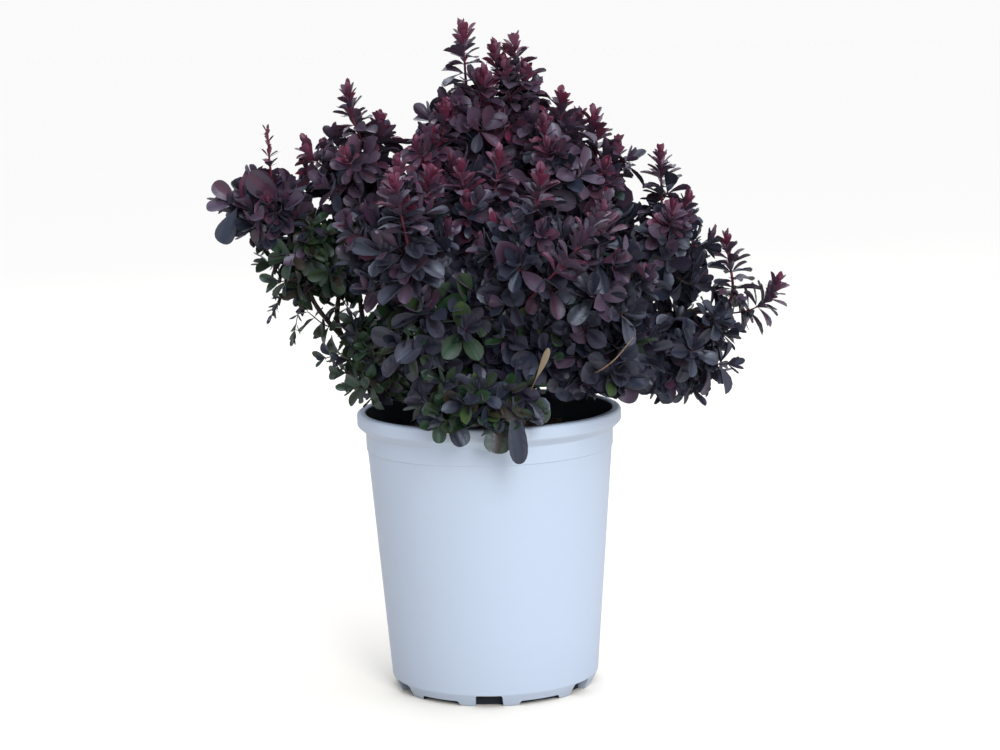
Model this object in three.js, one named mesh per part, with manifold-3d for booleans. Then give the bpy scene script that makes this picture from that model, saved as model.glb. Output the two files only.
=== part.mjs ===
// A potted Japanese barberry: a many-stemmed shrub with upright leafy shoots in a round nursery pot.
// Millimetres, +Z up, the front towards -Y. The origin is the middle of the pot's underside.
import * as THREE from 'three';
import { mergeVertices } from 'three/addons/utils/BufferGeometryUtils.js';
import Module from 'manifold-3d';

const wasm = await Module();
wasm.setup();

const FULL_TURN = 2 * Math.PI;
const GOLDEN_ANGLE = Math.PI * (3 - Math.sqrt(5));
const GAP = 0.3; // between pieces that touch in the real plant

// The pot: a thin moulded shell with a beaded rim and six drain openings in its lower edge
const POT = {
  height: 246,
  rimRadius: 116,
  rimInner: 107.3,
  rimBand: 11,
  rimChamfer: 6.5,
  neckRadius: 108.4,
  shoulderZ: 213,
  baseRadius: 91.6,
  wall: 1.6,
  floorUnder: 5,
  floorTop: 8,
  creaseZ: 11,
  footRadius: 86,
  footWidth: 7,
  hubRadius: 27,
  lip: 1.4,
  sides: 36,
};
const DRAINS = { count: 6, firstBearing: -94, width: 23, height: 10.5, slope: 0.6 };
const RAISED_EDGES = { width: 36, height: 4.2, slope: 3 };

const SOIL = { top: 224, dish: 2.5, moundRadius: 39, clear: 0.4 };

// The woody crown at soil level, which every main stem grows from
const ROOT_CROWN = {
  flareRadius: 25,
  waist: 17,
  topRadius: 16,
  height: 26,
  shoulder: 3,
  sides: 12,
  steps: 4,
  lobes: 5,
  lobe: 2.2,
};

// Main stems stand evenly round the crown, leaders inside them; side limbs fork from the stem they name
const STEM = { base: 3.4, tip: 2.0, sides: 5, step: 36 };
const OUTER_RING = { radius: 12.5, sunk: 13, out: 15, up: 15 };
const INNER_RING = { radius: 4.5, sunk: 8, out: 3, up: 30 };
const SIDE_LIMB = { base: 2.3, tip: 1.7, sides: 5, step: 36 };

// Foliage: leaves and twigs of the shoots, larger than life because they are fewer than on the plant
const LEAF = { length: 42, width: 25, thickness: 1.5, broadest: 0.62, droop: 0.1, sunk: 0.5 };
const SHOOT = {
  stem: 2,
  stemTip: 1.2,
  twig: 1,
  twigTip: 0.8,
  sides: 3,
  step: 34,
  leafStep: 12,
  leaderFirstLeaf: 0.2,
  firstLeaf: 0.45,
};
const SIDE_SHOOTS = 5;
const SIDE_SAG = 0.18; // how far a side shoot hangs below a straight line before it turns up
const LEADER_SAG = 0.12;
const CLEAR = 0.45; // kept free round every limb, between two masses and along the pot
const CORE = { share: 0.5, rough: 0.14, clear: 1.2 }; // the crowded middle of a dense mass, against its reach
const SPIRE = { radius: 24, below: 20 }; // the space round the end of a leading shoot

// The masses of foliage. heart: the middle of a mass; reach: how far it spreads along X, Y and Z;
// tips: the topmost leaf of each leading shoot; from and at: the limb that its own limb forks from, and how
// far along; via: points that its limb passes; open: a loose mass with no crowded middle
const MASSES = [
  { name: 'top_left', heart: [-10, 5, 496], reach: [42, 48, 48], tips: [[-14, 5, 584]], inner: true },
  { name: 'top_right', heart: [33, 14, 484], reach: [42, 48, 48],
    tips: [[30, 12, 575], [13, 4, 568], [52, 18, 550]], from: 'top_left', at: 0.6 },
  { name: 'left_shoulder', heart: [-42, -22, 456], reach: [42, 44, 46],
    tips: [[-32, -24, 519], [-54, -14, 496]], from: 'top_left', at: 0.46 },
  { name: 'right_shoulder', heart: [66, -10, 452], reach: [42, 46, 46],
    tips: [[69, -2, 526], [84, 14, 512]], from: 'top_left', at: 0.34 },
  { name: 'right_wing', heart: [106, 4, 424], reach: [38, 48, 50], tips: [[97, 4, 508], [120, -4, 484]],
    from: 'right_hill', at: 0.32 },
  { name: 'centre', heart: [-8, -60, 404], reach: [52, 46, 54], tips: [[-18, -66, 470], [14, -58, 480]],
    inner: true },
  { name: 'left_hill', heart: [-112, 4, 456], reach: [46, 50, 46], tips: [[-114, 0, 535], [-85, 20, 517]],
    from: 'left_skirt', at: 0.5, via: [[-107, 0, 318], [-110, 2, 350]] },
  { name: 'left_tip', heart: [-184, -8, 428], reach: [32, 40, 34], tips: [[-184, -10, 503], [-224, -12, 448]],
    from: 'left_skirt', at: 0.72, via: [[-150, -4, 344]], open: true },
  { name: 'left_skirt', heart: [-152, 0, 388], reach: [50, 46, 44], tips: [],
    via: [[-66, 2, 258], [-104, 0, 270], [-116, 0, 294], [-130, 0, 322]] },
  { name: 'front_left', heart: [-70, -94, 404], reach: [48, 44, 54],
    tips: [[-70, -98, 476], [-44, -92, 468]] },
  { name: 'front_middle', heart: [36, -104, 388], reach: [50, 42, 52], tips: [[47, -106, 466]] },
  { name: 'front_right', heart: [94, -102, 362], reach: [46, 44, 46], tips: [[97, -118, 434]] },
  { name: 'right_hill', heart: [156, 0, 382], reach: [44, 50, 56], tips: [[154, 0, 475], [176, -6, 436]] },
  { name: 'right_tip', heart: [214, -10, 336], reach: [30, 36, 34], tips: [[210, -8, 400], [252, -12, 362]],
    from: 'right_hill', at: 0.56, open: true },
  { name: 'right_low', heart: [170, -22, 302], reach: [50, 48, 52], tips: [], from: 'right_hill', at: 0.34 },
  { name: 'right_side', heart: [98, 10, 350], reach: [44, 46, 46], tips: [], from: 'right_wing', at: 0.3 },
  { name: 'low_right', heart: [92, -84, 298], reach: [44, 44, 36], tips: [], from: 'front_right', at: 0.5 },
  { name: 'low_middle', heart: [34, -84, 312], reach: [44, 40, 40], tips: [], from: 'front_middle', at: 0.4 },
  { name: 'low_left', heart: [-36, -90, 336], reach: [48, 42, 50], tips: [] },
  { name: 'left_low', heart: [-90, -48, 304], reach: [40, 42, 50], tips: [], from: 'front_left', at: 0.42,
    open: true },
  { name: 'front_low', heart: [-6, -118, 268], reach: [52, 32, 32], tips: [], from: 'low_left', at: 0.5 },
  { name: 'back_left', heart: [-82, 88, 400], reach: [54, 50, 54], tips: [[-92, 98, 482], [-124, 86, 444]] },
  { name: 'back_middle', heart: [8, 104, 418], reach: [54, 48, 58], tips: [[6, 112, 510], [38, 118, 478]] },
  { name: 'back_right', heart: [98, 92, 394], reach: [52, 50, 54], tips: [[104, 100, 476], [134, 92, 438]] },
  { name: 'back_low_left', heart: [-74, 104, 306], reach: [48, 44, 42], tips: [], from: 'back_left',
    at: 0.42 },
  { name: 'back_low_middle', heart: [4, 116, 318], reach: [46, 42, 42], tips: [], from: 'back_middle',
    at: 0.4 },
  { name: 'back_low_right', heart: [84, 106, 304], reach: [48, 44, 42], tips: [], from: 'back_right',
    at: 0.42 },
];

const FINISH = {
  pot: new THREE.MeshStandardMaterial({ color: 0xe4e8f0, roughness: 0.42, metalness: 0 }),
  soil: new THREE.MeshStandardMaterial({ color: 0x241d18, roughness: 0.95, metalness: 0 }),
  bark: new THREE.MeshStandardMaterial({ color: 0x3a2822, roughness: 0.85, metalness: 0 }),
  foliage: new THREE.MeshStandardMaterial({ color: 0x33243a, roughness: 0.5, metalness: 0 }),
};

const vector = (xyz) => new THREE.Vector3(...xyz);
const up = (height) => new THREE.Vector3(0, 0, height);
const clamp = (value, low, high) => Math.min(high, Math.max(low, value));

// A repeatable draw between 0 and 1, from a whole-number seed
function drawer(seed) {
  let state = seed >>> 0;
  return () => {
    state = (Math.imul(state, 1664525) + 1013904223) >>> 0;
    return state / 4294967296;
  };
}

// A closed geometry as a solid that can be joined and cut, and a solid as a named mesh
function solidOf(geometry) {
  const bare = geometry.clone();
  for (const name of ['normal', 'uv']) bare.deleteAttribute(name);
  const merged = mergeVertices(bare, 1e-4);
  return new wasm.Manifold(new wasm.Mesh({
    numProp: 3,
    vertProperties: merged.attributes.position.array,
    triVerts: new Uint32Array(merged.index.array),
  }));
}

function nodeOf(name, solid, finish) {
  const mesh = solid.getMesh();
  const geometry = new THREE.BufferGeometry();
  geometry.setAttribute('position', new THREE.BufferAttribute(new Float32Array(mesh.vertProperties), 3));
  geometry.setIndex(new THREE.BufferAttribute(new Uint32Array(mesh.triVerts), 1));
  geometry.computeVertexNormals();
  const node = new THREE.Mesh(geometry, finish);
  node.name = name;
  return node;
}

const sumOf = (solids) => solids.reduce((sum, solid) => sum.add(solid));
const largestOf = (solid) => solid.decompose().sort((a, b) => b.volume() - a.volume())[0];

// A solid of revolution about Z from radius and height pairs that start and end on the axis
function turned(profile) {
  const points = profile.map(([radius, z]) => new THREE.Vector2(radius, z));
  return new THREE.LatheGeometry(points, POT.sides).rotateX(Math.PI / 2);
}

// Radius of the pot's wall inside, which the soil follows
function innerRadius(z) {
  const share = (z - POT.creaseZ) / (POT.height - POT.creaseZ);
  return POT.baseRadius - POT.wall + share * (POT.rimInner - POT.baseRadius + POT.wall);
}

// A block with sloped sides that cuts the pot's lower edge at one bearing, from the foot ring outwards
function edgeCutter(bearing, { width, height, slope }) {
  const below = -2;
  const outline = new THREE.Shape([
    new THREE.Vector2(-width / 2 - slope, below),
    new THREE.Vector2(width / 2 + slope, below),
    new THREE.Vector2(width / 2, height),
    new THREE.Vector2(-width / 2, height),
  ]);
  const block = new THREE.ExtrudeGeometry(outline, { depth: 30, bevelEnabled: false });
  block.rotateX(Math.PI / 2).rotateZ(Math.PI / 2).translate(POT.footRadius - POT.footWidth, 0, 0);
  return solidOf(block.rotateZ(THREE.MathUtils.degToRad(bearing)));
}

function pot() {
  const footInner = POT.footRadius - POT.footWidth;
  const bandFoot = POT.height - POT.rimBand;
  let solid = solidOf(turned([
    [0, 0],
    [POT.hubRadius, 0],
    [POT.hubRadius + 3, POT.floorUnder],
    [footInner - 3, POT.floorUnder],
    [footInner, 0],
    [POT.footRadius, 0],
    [POT.baseRadius, POT.creaseZ],
    [POT.neckRadius - 1, POT.shoulderZ],
    [POT.neckRadius, bandFoot - POT.rimChamfer],
    [POT.rimRadius, bandFoot],
    [POT.rimRadius, POT.height - POT.lip],
    [POT.rimRadius - POT.lip, POT.height],
    [POT.rimInner, POT.height],
    [innerRadius(POT.creaseZ), POT.creaseZ],
    [innerRadius(POT.creaseZ) - 2, POT.floorTop],
    [0, POT.floorTop],
  ]));
  for (let i = 0; i < DRAINS.count; i += 1) {
    const bearing = DRAINS.firstBearing + (i * 360) / DRAINS.count;
    solid = solid.subtract(edgeCutter(bearing, DRAINS));
    solid = solid.subtract(edgeCutter(bearing + 180 / DRAINS.count, RAISED_EDGES));
  }
  return nodeOf('pot', solid, FINISH.pot);
}

function soil() {
  const wallAt = (z) => innerRadius(z) - SOIL.clear;
  return nodeOf('soil', solidOf(turned([
    [0, POT.floorTop + GAP],
    [wallAt(POT.creaseZ) - 2.4, POT.floorTop + GAP],
    [wallAt(POT.creaseZ), POT.creaseZ + 2 * GAP],
    [wallAt(SOIL.top), SOIL.top - SOIL.dish],
    [SOIL.moundRadius, SOIL.top],
    [0, SOIL.top],
  ])), FINISH.soil);
}

// A woody piece that tapers along a curve: a polygon at each of its evenly spaced rings
class Wood {
  constructor(curve, { base, tip, sides, step }) {
    this.curve = curve;
    this.base = base;
    this.tip = tip;
    this.sides = sides;
    this.steps = Math.max(2, Math.round(curve.getLength() / step));
    this.rings = curve.getSpacedPoints(this.steps);
  }

  at(share) {
    const along = clamp(share, 0, 1) * this.steps;
    const ring = Math.min(Math.floor(along), this.steps - 1);
    return this.rings[ring].clone().lerp(this.rings[ring + 1], along - ring);
  }

  radiusAt(share) {
    return THREE.MathUtils.lerp(this.base, this.tip, share);
  }

  solid(grow = 0) {
    const geometry = new THREE.CylinderGeometry(1, 1, 1, this.sides, this.steps);
    const frames = this.curve.computeFrenetFrames(this.steps, false);
    const position = geometry.attributes.position;
    for (let i = 0; i < position.count; i += 1) {
      const ring = Math.round(clamp(position.getY(i) + 0.5, 0, 1) * this.steps);
      const radius = this.radiusAt(ring / this.steps) + grow;
      const place = this.rings[ring].clone()
        .addScaledVector(frames.normals[ring], position.getZ(i) * radius)
        .addScaledVector(frames.binormals[ring], position.getX(i) * radius);
      position.setXYZ(i, place.x, place.y, place.z);
    }
    return solidOf(geometry);
  }
}

const crownTop = new THREE.Vector3(0, 0, SOIL.top + GAP + ROOT_CROWN.height);

function rootCrownSolid(grow) {
  const { flareRadius, waist, topRadius, height, shoulder, sides, steps, lobes, lobe } = ROOT_CROWN;
  const geometry = new THREE.CylinderGeometry(1, 1, 1, sides, steps);
  const position = geometry.attributes.position;
  for (let i = 0; i < position.count; i += 1) {
    const share = clamp(position.getY(i) + 0.5, 0, 1);
    const flare = (flareRadius - waist) * (1 - share) ** 3;
    const onRim = Math.hypot(position.getX(i), position.getZ(i)) > 0.5;
    const bearing = Math.atan2(-position.getZ(i), position.getX(i));
    const ripple = lobe * (1 - share) ** 2 * Math.cos(lobes * bearing);
    const radius = onRim ? THREE.MathUtils.lerp(waist, topRadius, share) + flare + ripple + grow : 0;
    let z = crownTop.z - height * (1 - share);
    if (share < 0.01) z -= grow;
    if (share > 0.99) z += onRim ? grow - shoulder : grow;
    position.setXYZ(i, Math.cos(bearing) * radius, Math.sin(bearing) * radius, z);
  }
  return solidOf(geometry);
}

// The space of a mass: round its heart and up its leading shoots. Where two masses meet, the ground between
// them is divided on flat planes
for (const mass of MASSES) {
  mass.centre = vector(mass.heart);
  mass.topmost = mass.tips.map((tip) => vector(tip).add(up(-SPIRE.below)));
  const halfway = mass.topmost.map((tip) => tip.clone().lerp(mass.centre, 0.5));
  const radius = (mass.reach[0] + mass.reach[1] + mass.reach[2]) / 3;
  mass.balls = [[mass.centre, radius], ...mass.topmost.map((place) => [place, SPIRE.radius]),
    ...halfway.map((place) => [place, (SPIRE.radius + radius) / 2])];
}

function inOwnSpace(mass, place, margin) {
  const power = ([middle, radius]) => place.distanceToSquared(middle) - radius ** 2;
  const own = mass.balls.reduce((best, ball) => (power(ball) < power(best) ? ball : best));
  return MASSES.every((other) => other === mass || other.balls.every((ball) => (
    (power(ball) - power(own)) / (2 * own[0].distanceTo(ball[0])) > margin)));
}

// The limbs: each runs from the crown, or from the limb it forks from, into its mass
const CUT_SHARE = 0.8; // how far out in its mass a limb ends, as a share of the mass's reach
const limbs = new Map();

function endOfLimb(mass) {
  const inward = crownTop.clone().sub(mass.centre).normalize();
  const reach = Math.min(...mass.reach) * CUT_SHARE;
  for (let share = 1; share > 0.2; share -= 0.05) {
    const place = mass.centre.clone().addScaledVector(inward, reach * share);
    if (inOwnSpace(mass, place, 3)) return place;
  }
  return mass.centre.clone().addScaledVector(inward, 4);
}

function addLimb(mass, start, rise, sizes, neighbour) {
  const points = [start, ...rise, ...(mass.via || []).map(vector), endOfLimb(mass)];
  const wood = new Wood(new THREE.CatmullRomCurve3(points, false, 'centripetal'), sizes);
  limbs.set(mass.name, { name: mass.name, wood, neighbour });
}

const mainStems = MASSES.filter((mass) => !mass.from);
const bearingOf = (mass) => Math.atan2(mass.heart[1], mass.heart[0]);
for (const inner of [true, false]) {
  const group = mainStems.filter((mass) => Boolean(mass.inner) === inner)
    .sort((a, b) => bearingOf(a) - bearingOf(b));
  const ring = inner ? INNER_RING : OUTER_RING;
  group.forEach((mass, i) => {
    const bearing = bearingOf(group[0]) + (i * FULL_TURN) / group.length;
    const outward = new THREE.Vector3(Math.cos(bearing), Math.sin(bearing), 0);
    const start = crownTop.clone().addScaledVector(outward, ring.radius).add(up(-ring.sunk));
    const rise = start.clone().addScaledVector(outward, ring.out).add(up(ring.up));
    addLimb(mass, start, mass.via ? [] : [rise], STEM, () => rootCrownSolid(GAP));
  });
}
for (const mass of MASSES.filter((one) => one.from)) {
  const stem = limbs.get(mass.from).wood;
  const start = stem.at(mass.at);
  const rise = start.clone().lerp(endOfLimb(mass), 0.3).add(up(4));
  const base = Math.min(SIDE_LIMB.base, stem.radiusAt(mass.at) - 0.3);
  const tip = Math.min(SIDE_LIMB.tip, base - 0.3);
  addLimb(mass, start, mass.via ? [] : [rise], { ...SIDE_LIMB, base, tip }, () => stem.solid(GAP));
}

function limbNode({ name, wood, neighbour }) {
  return nodeOf(`bough_${name}`, largestOf(wood.solid().subtract(neighbour())), FINISH.bark);
}

// What foliage keeps clear of: every limb, the crown, the soil and the pot up to its rim
const obstacles = sumOf([
  ...[...limbs.values()].map(({ wood }) => wood.solid(CLEAR)),
  rootCrownSolid(CLEAR),
  solidOf(turned([
    [0, 0],
    [POT.rimRadius + CLEAR, 0],
    [POT.rimRadius + CLEAR, POT.height + CLEAR],
    [POT.rimInner - CLEAR, POT.height + CLEAR],
    [innerRadius(SOIL.top) - CLEAR, SOIL.top + CLEAR],
    [0, SOIL.top + CLEAR],
  ])),
]);

// The shoots of a mass: one leading stem, further leaders that fork from it, and side shoots spread evenly
function shootsOf(mass, draw) {
  const limb = limbs.get(mass.name).wood;
  const heading = limb.curve.getTangentAt(1);
  const foot = limb.at(1).addScaledVector(heading, GAP);
  const reach = vector(mass.reach);
  const tips = [...mass.topmost];
  if (!tips.length) {
    const outward = mass.centre.clone().sub(crownTop).setZ(0).normalize().setZ(0.5).normalize();
    tips.push(mass.centre.clone().add(outward.multiply(reach).multiplyScalar(0.7)));
  }
  const bend = foot.distanceTo(tips[0]) * 0.4;
  const leave = foot.clone().addScaledVector(heading, bend);
  const arrive = tips[0].clone().lerp(mass.centre, 0.2).add(up(-bend * 0.6));
  const leader = { ...SHOOT, base: Math.min(limb.tip, SHOOT.stem), tip: SHOOT.stemTip };
  const twig = { ...SHOOT, base: SHOOT.twig, tip: SHOOT.twigTip };
  const stem = new Wood(new THREE.CubicBezierCurve3(foot, leave, arrive, tips[0]), leader);
  const shoots = [{ wood: stem, leads: true }];
  for (const tip of tips.slice(1)) {
    const start = stem.at(0.3);
    const elbow = start.clone().lerp(tip, 0.5).add(up(-LEADER_SAG * start.distanceTo(tip)));
    shoots.push({ wood: new Wood(new THREE.QuadraticBezierCurve3(start, elbow, tip), twig), leads: true });
  }
  const firstTurn = draw() * FULL_TURN;
  for (let i = 0; i < SIDE_SHOOTS; i += 1) {
    const height = 1 - (2 * (i + 0.5)) / SIDE_SHOOTS;
    const turn = firstTurn + i * GOLDEN_ANGLE;
    const flat = Math.sqrt(1 - height * height);
    const outward = new THREE.Vector3(flat * Math.cos(turn), flat * Math.sin(turn), height).multiply(reach);
    const size = 0.8 + 0.2 * draw();
    const start = stem.at(0.15 + 0.25 * (height + 1));
    for (const share of [1, 0.8, 0.6]) {
      const tip = mass.centre.clone().addScaledVector(outward, size * share);
      const elbow = start.clone().lerp(tip, 0.55).add(up(-SIDE_SAG * start.distanceTo(tip)));
      const wood = new Wood(new THREE.QuadraticBezierCurve3(start, elbow, tip), twig);
      if (!woodFits(mass, wood)) continue;
      shoots.push({ wood, leads: false });
      break;
    }
  }
  return shoots;
}

function woodFits(mass, wood) {
  const places = [0.15, 0.3, 0.45, 0.6, 0.75, 0.9, 1].map((share) => wood.at(share));
  return places.every((place) => inOwnSpace(mass, place, SHOOT.twig + CLEAR))
    && wood.solid().intersect(obstacles).isEmpty();
}

// A leaf: a thin keeled blade of four faces, broadest past its middle and pointed at the root
function leafShape(root, along, facing, size) {
  const across = new THREE.Vector3().crossVectors(facing, along).normalize();
  const normal = new THREE.Vector3().crossVectors(along, across).normalize();
  const at = (u, v, w) => root.clone().addScaledVector(along, u * LEAF.length * size)
    .addScaledVector(across, v * LEAF.width * size).addScaledVector(normal, w);
  return [
    at(0, 0, 0),
    at(LEAF.broadest, 0.5, LEAF.thickness),
    at(1, 0, -LEAF.droop * LEAF.length * size),
    at(LEAF.broadest, -0.5, LEAF.thickness),
  ];
}

const LEAF_FACES = [0, 3, 1, 1, 3, 2, 0, 1, 2, 0, 2, 3];

function leafSolid(corners) {
  const geometry = new THREE.BufferGeometry().setFromPoints(corners);
  geometry.setIndex(LEAF_FACES);
  return solidOf(geometry);
}

function leafFits(mass, [root, left, tip, right], blade) {
  const places = [left, tip, right, root.clone().lerp(left, 0.5), root.clone().lerp(right, 0.5)];
  return places.every((place) => inOwnSpace(mass, place, CLEAR)) && blade.intersect(obstacles).isEmpty();
}

// Leaves stand round a shoot by the golden angle: spreading low down, closing up towards its tip.
// They face away from the middle of the shrub, and young ones near a leader's tip are smaller. Each comes
// with the turns about its shoot, and the smaller sizes, that are tried where it would leave its space
const MIDDLE = new THREE.Vector3(0, 0, 320);
const SECOND_TRIES = [[0, 1], [0.7, 1], [-0.7, 1], [0, 0.72], [0.9, 0.72], [-0.9, 0.72]];

function leavesOn({ wood, leads }, draw) {
  const first = leads ? SHOOT.leaderFirstLeaf : SHOOT.firstLeaf;
  const count = Math.max(2, Math.round((wood.curve.getLength() * (1 - first)) / SHOOT.leafStep));
  const firstTurn = draw() * FULL_TURN;
  return Array.from({ length: count + 1 }, (_, i) => {
    const share = i / count;
    const at = first + (1 - first) * share * 0.985;
    const axis = wood.curve.getTangentAt(at);
    const side = new THREE.Vector3(1, 0.3, 0.2).cross(axis).normalize();
    const spread = THREE.MathUtils.degToRad(i === count ? 10 : 72 - 30 * share);
    const young = leads ? share : share * 0.4;
    const size = (1 - 0.42 * young) * (0.9 + 0.2 * draw());
    const facing = wood.at(at).sub(MIDDLE).normalize().addScaledVector(axis, 0.6);
    return SECOND_TRIES.map(([turn, smaller]) => {
      const outward = side.clone().applyAxisAngle(axis, firstTurn + i * GOLDEN_ANGLE + turn);
      const along = axis.clone().multiplyScalar(Math.cos(spread)).addScaledVector(outward, Math.sin(spread));
      return leafShape(wood.at(at).addScaledVector(along, -LEAF.sunk), along, facing, size * smaller);
    });
  });
}

// The crowded middle of a dense mass: a rough pebble within its space, cut clear of the limbs that pass
function coreOf(mass, seed) {
  const draw = drawer(seed);
  const geometry = new THREE.IcosahedronGeometry(1, 0);
  for (const name of ['normal', 'uv']) geometry.deleteAttribute(name);
  const pebble = mergeVertices(geometry, 1e-4);
  const position = pebble.attributes.position;
  for (let i = 0; i < position.count; i += 1) {
    const outward = new THREE.Vector3().fromBufferAttribute(position, i).multiply(vector(mass.reach));
    let share = CORE.share * (1 + CORE.rough * (2 * draw() - 1));
    while (!inOwnSpace(mass, mass.centre.clone().addScaledVector(outward, share), CORE.clear)) share *= 0.9;
    const place = mass.centre.clone().addScaledVector(outward, share);
    position.setXYZ(i, place.x, place.y, place.z);
  }
  return solidOf(pebble).subtract(obstacles);
}

function massNode(mass, seed) {
  const draw = drawer(seed);
  const shoots = shootsOf(mass, draw);
  const twigs = shoots.map(({ wood }) => wood.solid());
  const blades = [];
  shoots.forEach((shoot, i) => {
    const others = sumOf([...twigs.filter((_, j) => j !== i), ...blades]);
    const near = [];
    for (const turns of leavesOn(shoot, draw)) {
      const free = (solid) => [others, ...near].every((other) => solid.intersect(other).isEmpty());
      const tries = turns.map((leaf) => [leaf, leafSolid(leaf)]);
      const blade = tries.find(([leaf, solid]) => leafFits(mass, leaf, solid) && free(solid));
      if (blade) near.push(blade[1]);
    }
    blades.push(...near);
  });
  const core = mass.open ? [] : [coreOf(mass, seed + 1)];
  return nodeOf(`mass_${mass.name}`, largestOf(sumOf([...twigs, ...core, ...blades])), FINISH.foliage);
}

const shrub = new THREE.Group();
shrub.add(pot(), soil(), nodeOf('root_crown', rootCrownSolid(0), FINISH.bark));
for (const limb of limbs.values()) shrub.add(limbNode(limb));
MASSES.forEach((mass, i) => shrub.add(massNode(mass, 101 + 37 * i)));

export default shrub;
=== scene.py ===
"""The looks of a potted Japanese barberry: a purple-leaved shrub in a white moulded nursery pot.

Metres, +Z up, the front towards -Y. The origin is the middle of the pot's underside. The shrub grows by the
same rule as its solids: stems from one woody crown, limbs that fork from them, and a mass of shoots on each.
"""

import math

import bmesh
import bpy
import numpy as np
from mathutils import Matrix, Quaternion, Vector, noise


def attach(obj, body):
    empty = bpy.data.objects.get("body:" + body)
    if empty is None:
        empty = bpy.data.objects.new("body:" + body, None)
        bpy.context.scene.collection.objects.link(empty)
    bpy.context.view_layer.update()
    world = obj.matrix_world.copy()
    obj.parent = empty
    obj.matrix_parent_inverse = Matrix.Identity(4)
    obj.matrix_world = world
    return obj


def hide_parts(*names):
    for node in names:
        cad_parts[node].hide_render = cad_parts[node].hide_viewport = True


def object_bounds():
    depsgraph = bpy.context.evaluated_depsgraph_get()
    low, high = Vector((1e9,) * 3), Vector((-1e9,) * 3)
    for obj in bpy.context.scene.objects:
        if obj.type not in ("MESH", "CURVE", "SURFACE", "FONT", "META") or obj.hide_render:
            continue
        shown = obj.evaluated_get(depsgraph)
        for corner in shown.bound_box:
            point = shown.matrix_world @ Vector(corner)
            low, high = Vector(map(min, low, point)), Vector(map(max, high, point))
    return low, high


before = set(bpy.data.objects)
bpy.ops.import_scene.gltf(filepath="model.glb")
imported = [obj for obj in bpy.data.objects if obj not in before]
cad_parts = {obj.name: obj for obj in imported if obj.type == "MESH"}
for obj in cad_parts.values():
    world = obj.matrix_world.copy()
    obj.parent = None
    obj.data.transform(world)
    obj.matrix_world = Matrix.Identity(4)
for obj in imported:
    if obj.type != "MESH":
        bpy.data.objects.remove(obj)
cad_box = [list(corner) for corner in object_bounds()]

MM = 0.001
UP = Vector((0, 0, 1))

# The camera stands a little above the rim, two metres in front of the pot, and looks slightly down. It is
# held a touch off level, as the photograph was taken.
CAMERA_PLACE = Vector((0, -2.07, 0.575))
CAMERA_LENS = 85.8
LOOK_DOWN = 8.25
LOOK_RIGHT = 0.29
OFF_LEVEL = 1.43

camera_data = bpy.data.cameras.new("camera")
camera_data.sensor_width = 36
camera_data.lens = CAMERA_LENS
camera = bpy.data.objects.new("camera", camera_data)
camera.matrix_world = (
    Matrix.Translation(CAMERA_PLACE)
    @ Matrix.Rotation(math.radians(-LOOK_RIGHT), 4, "Z")
    @ Matrix.Rotation(math.radians(90 - LOOK_DOWN), 4, "X")
    @ Matrix.Rotation(math.radians(-OFF_LEVEL), 4, "Z")
)
bpy.context.scene.collection.objects.link(camera)
bpy.context.scene.camera = camera

# The room: a pale floor that runs out of sight and throws back less light than it shows, under a soft sky
# that is brightest overhead and to the right. A tall lamp gives the pot its upright highlight, a weak one
# fills from the left, and one behind lifts the top leaves.
FLOOR_REACH = 60
PALE = 0.96
THROWN_BACK = 0.6
SKY_LOW = (0.36, 0.37, 0.40)
SKY_HIGH = (1.32, 1.42, 1.62)
SKY_SIDE = 0.52
LAMPS = [
    ("key_lamp", Vector((0.76, -2.33, 1.5)), (0.9, 1.9), 38, (0.95, 0.99, 1.0)),
    ("fill_lamp", Vector((-2.3, -1.6, 1.7)), (1.6, 1.6), 4, (1.0, 0.95, 0.97)),
    ("back_lamp", Vector((-0.5, 1.9, 2.2)), (1.5, 1.5), 16, (1.0, 1.0, 1.0)),
]
LAMP_TARGET = Vector((0, 0, 0.33))


def shader(name):
    """A new material, its node tree and its Principled shader."""
    material = bpy.data.materials.new(name)
    material.use_nodes = True
    return material, material.node_tree, material.node_tree.nodes["Principled BSDF"]


def feed(tree, fed, inputs):
    """Sets each input of a node to a value, or links it to the output that is given for it."""
    for socket, value in inputs.items():
        if isinstance(value, bpy.types.NodeSocket):
            tree.links.new(value, fed.inputs[socket])
        else:
            fed.inputs[socket].default_value = value


def node(tree, kind, inputs, **settings):
    """The outputs of a new shader node with its own settings and what its inputs are fed."""
    made = tree.nodes.new("ShaderNode" + kind)
    for setting, value in settings.items():
        setattr(made, setting, value)
    feed(tree, made, inputs)
    return made.outputs


def piece_of(name, mesh, materials):
    """A mesh as an object in the scene, with its materials in order."""
    piece = bpy.data.objects.new(name, mesh)
    for material in materials:
        mesh.materials.append(material)
    bpy.context.scene.collection.objects.link(piece)
    return piece


# What the sky sends onto level ground decides the floor's own colour, so that floor and surround meet unseen.
sky_on_floor = [low + (high - low) * 2 / 3 for low, high in zip(SKY_LOW, SKY_HIGH)]
floor_look, floor_tree, floor_shader = shader("pale_floor")
floor_colour = node(floor_tree, "Mix", {
    "Factor": node(floor_tree, "LightPath", {})["Is Camera Ray"],
    "A": (*(PALE * THROWN_BACK / light for light in sky_on_floor), 1),
    "B": (*(PALE / light for light in sky_on_floor), 1),
}, data_type="RGBA")
feed(floor_tree, floor_shader, {
    "Base Color": floor_colour["Result"],
    "Roughness": 0.9,
    "Specular IOR Level": 0,
})
floor_mesh = bpy.data.meshes.new("floor")
floor_mesh.from_pydata(
    [(x * FLOOR_REACH, y * FLOOR_REACH, 0) for x, y in ((-1, -1), (1, -1), (1, 1), (-1, 1))],
    [],
    [(0, 1, 2, 3)],
)
piece_of("floor", floor_mesh, [floor_look])

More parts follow.
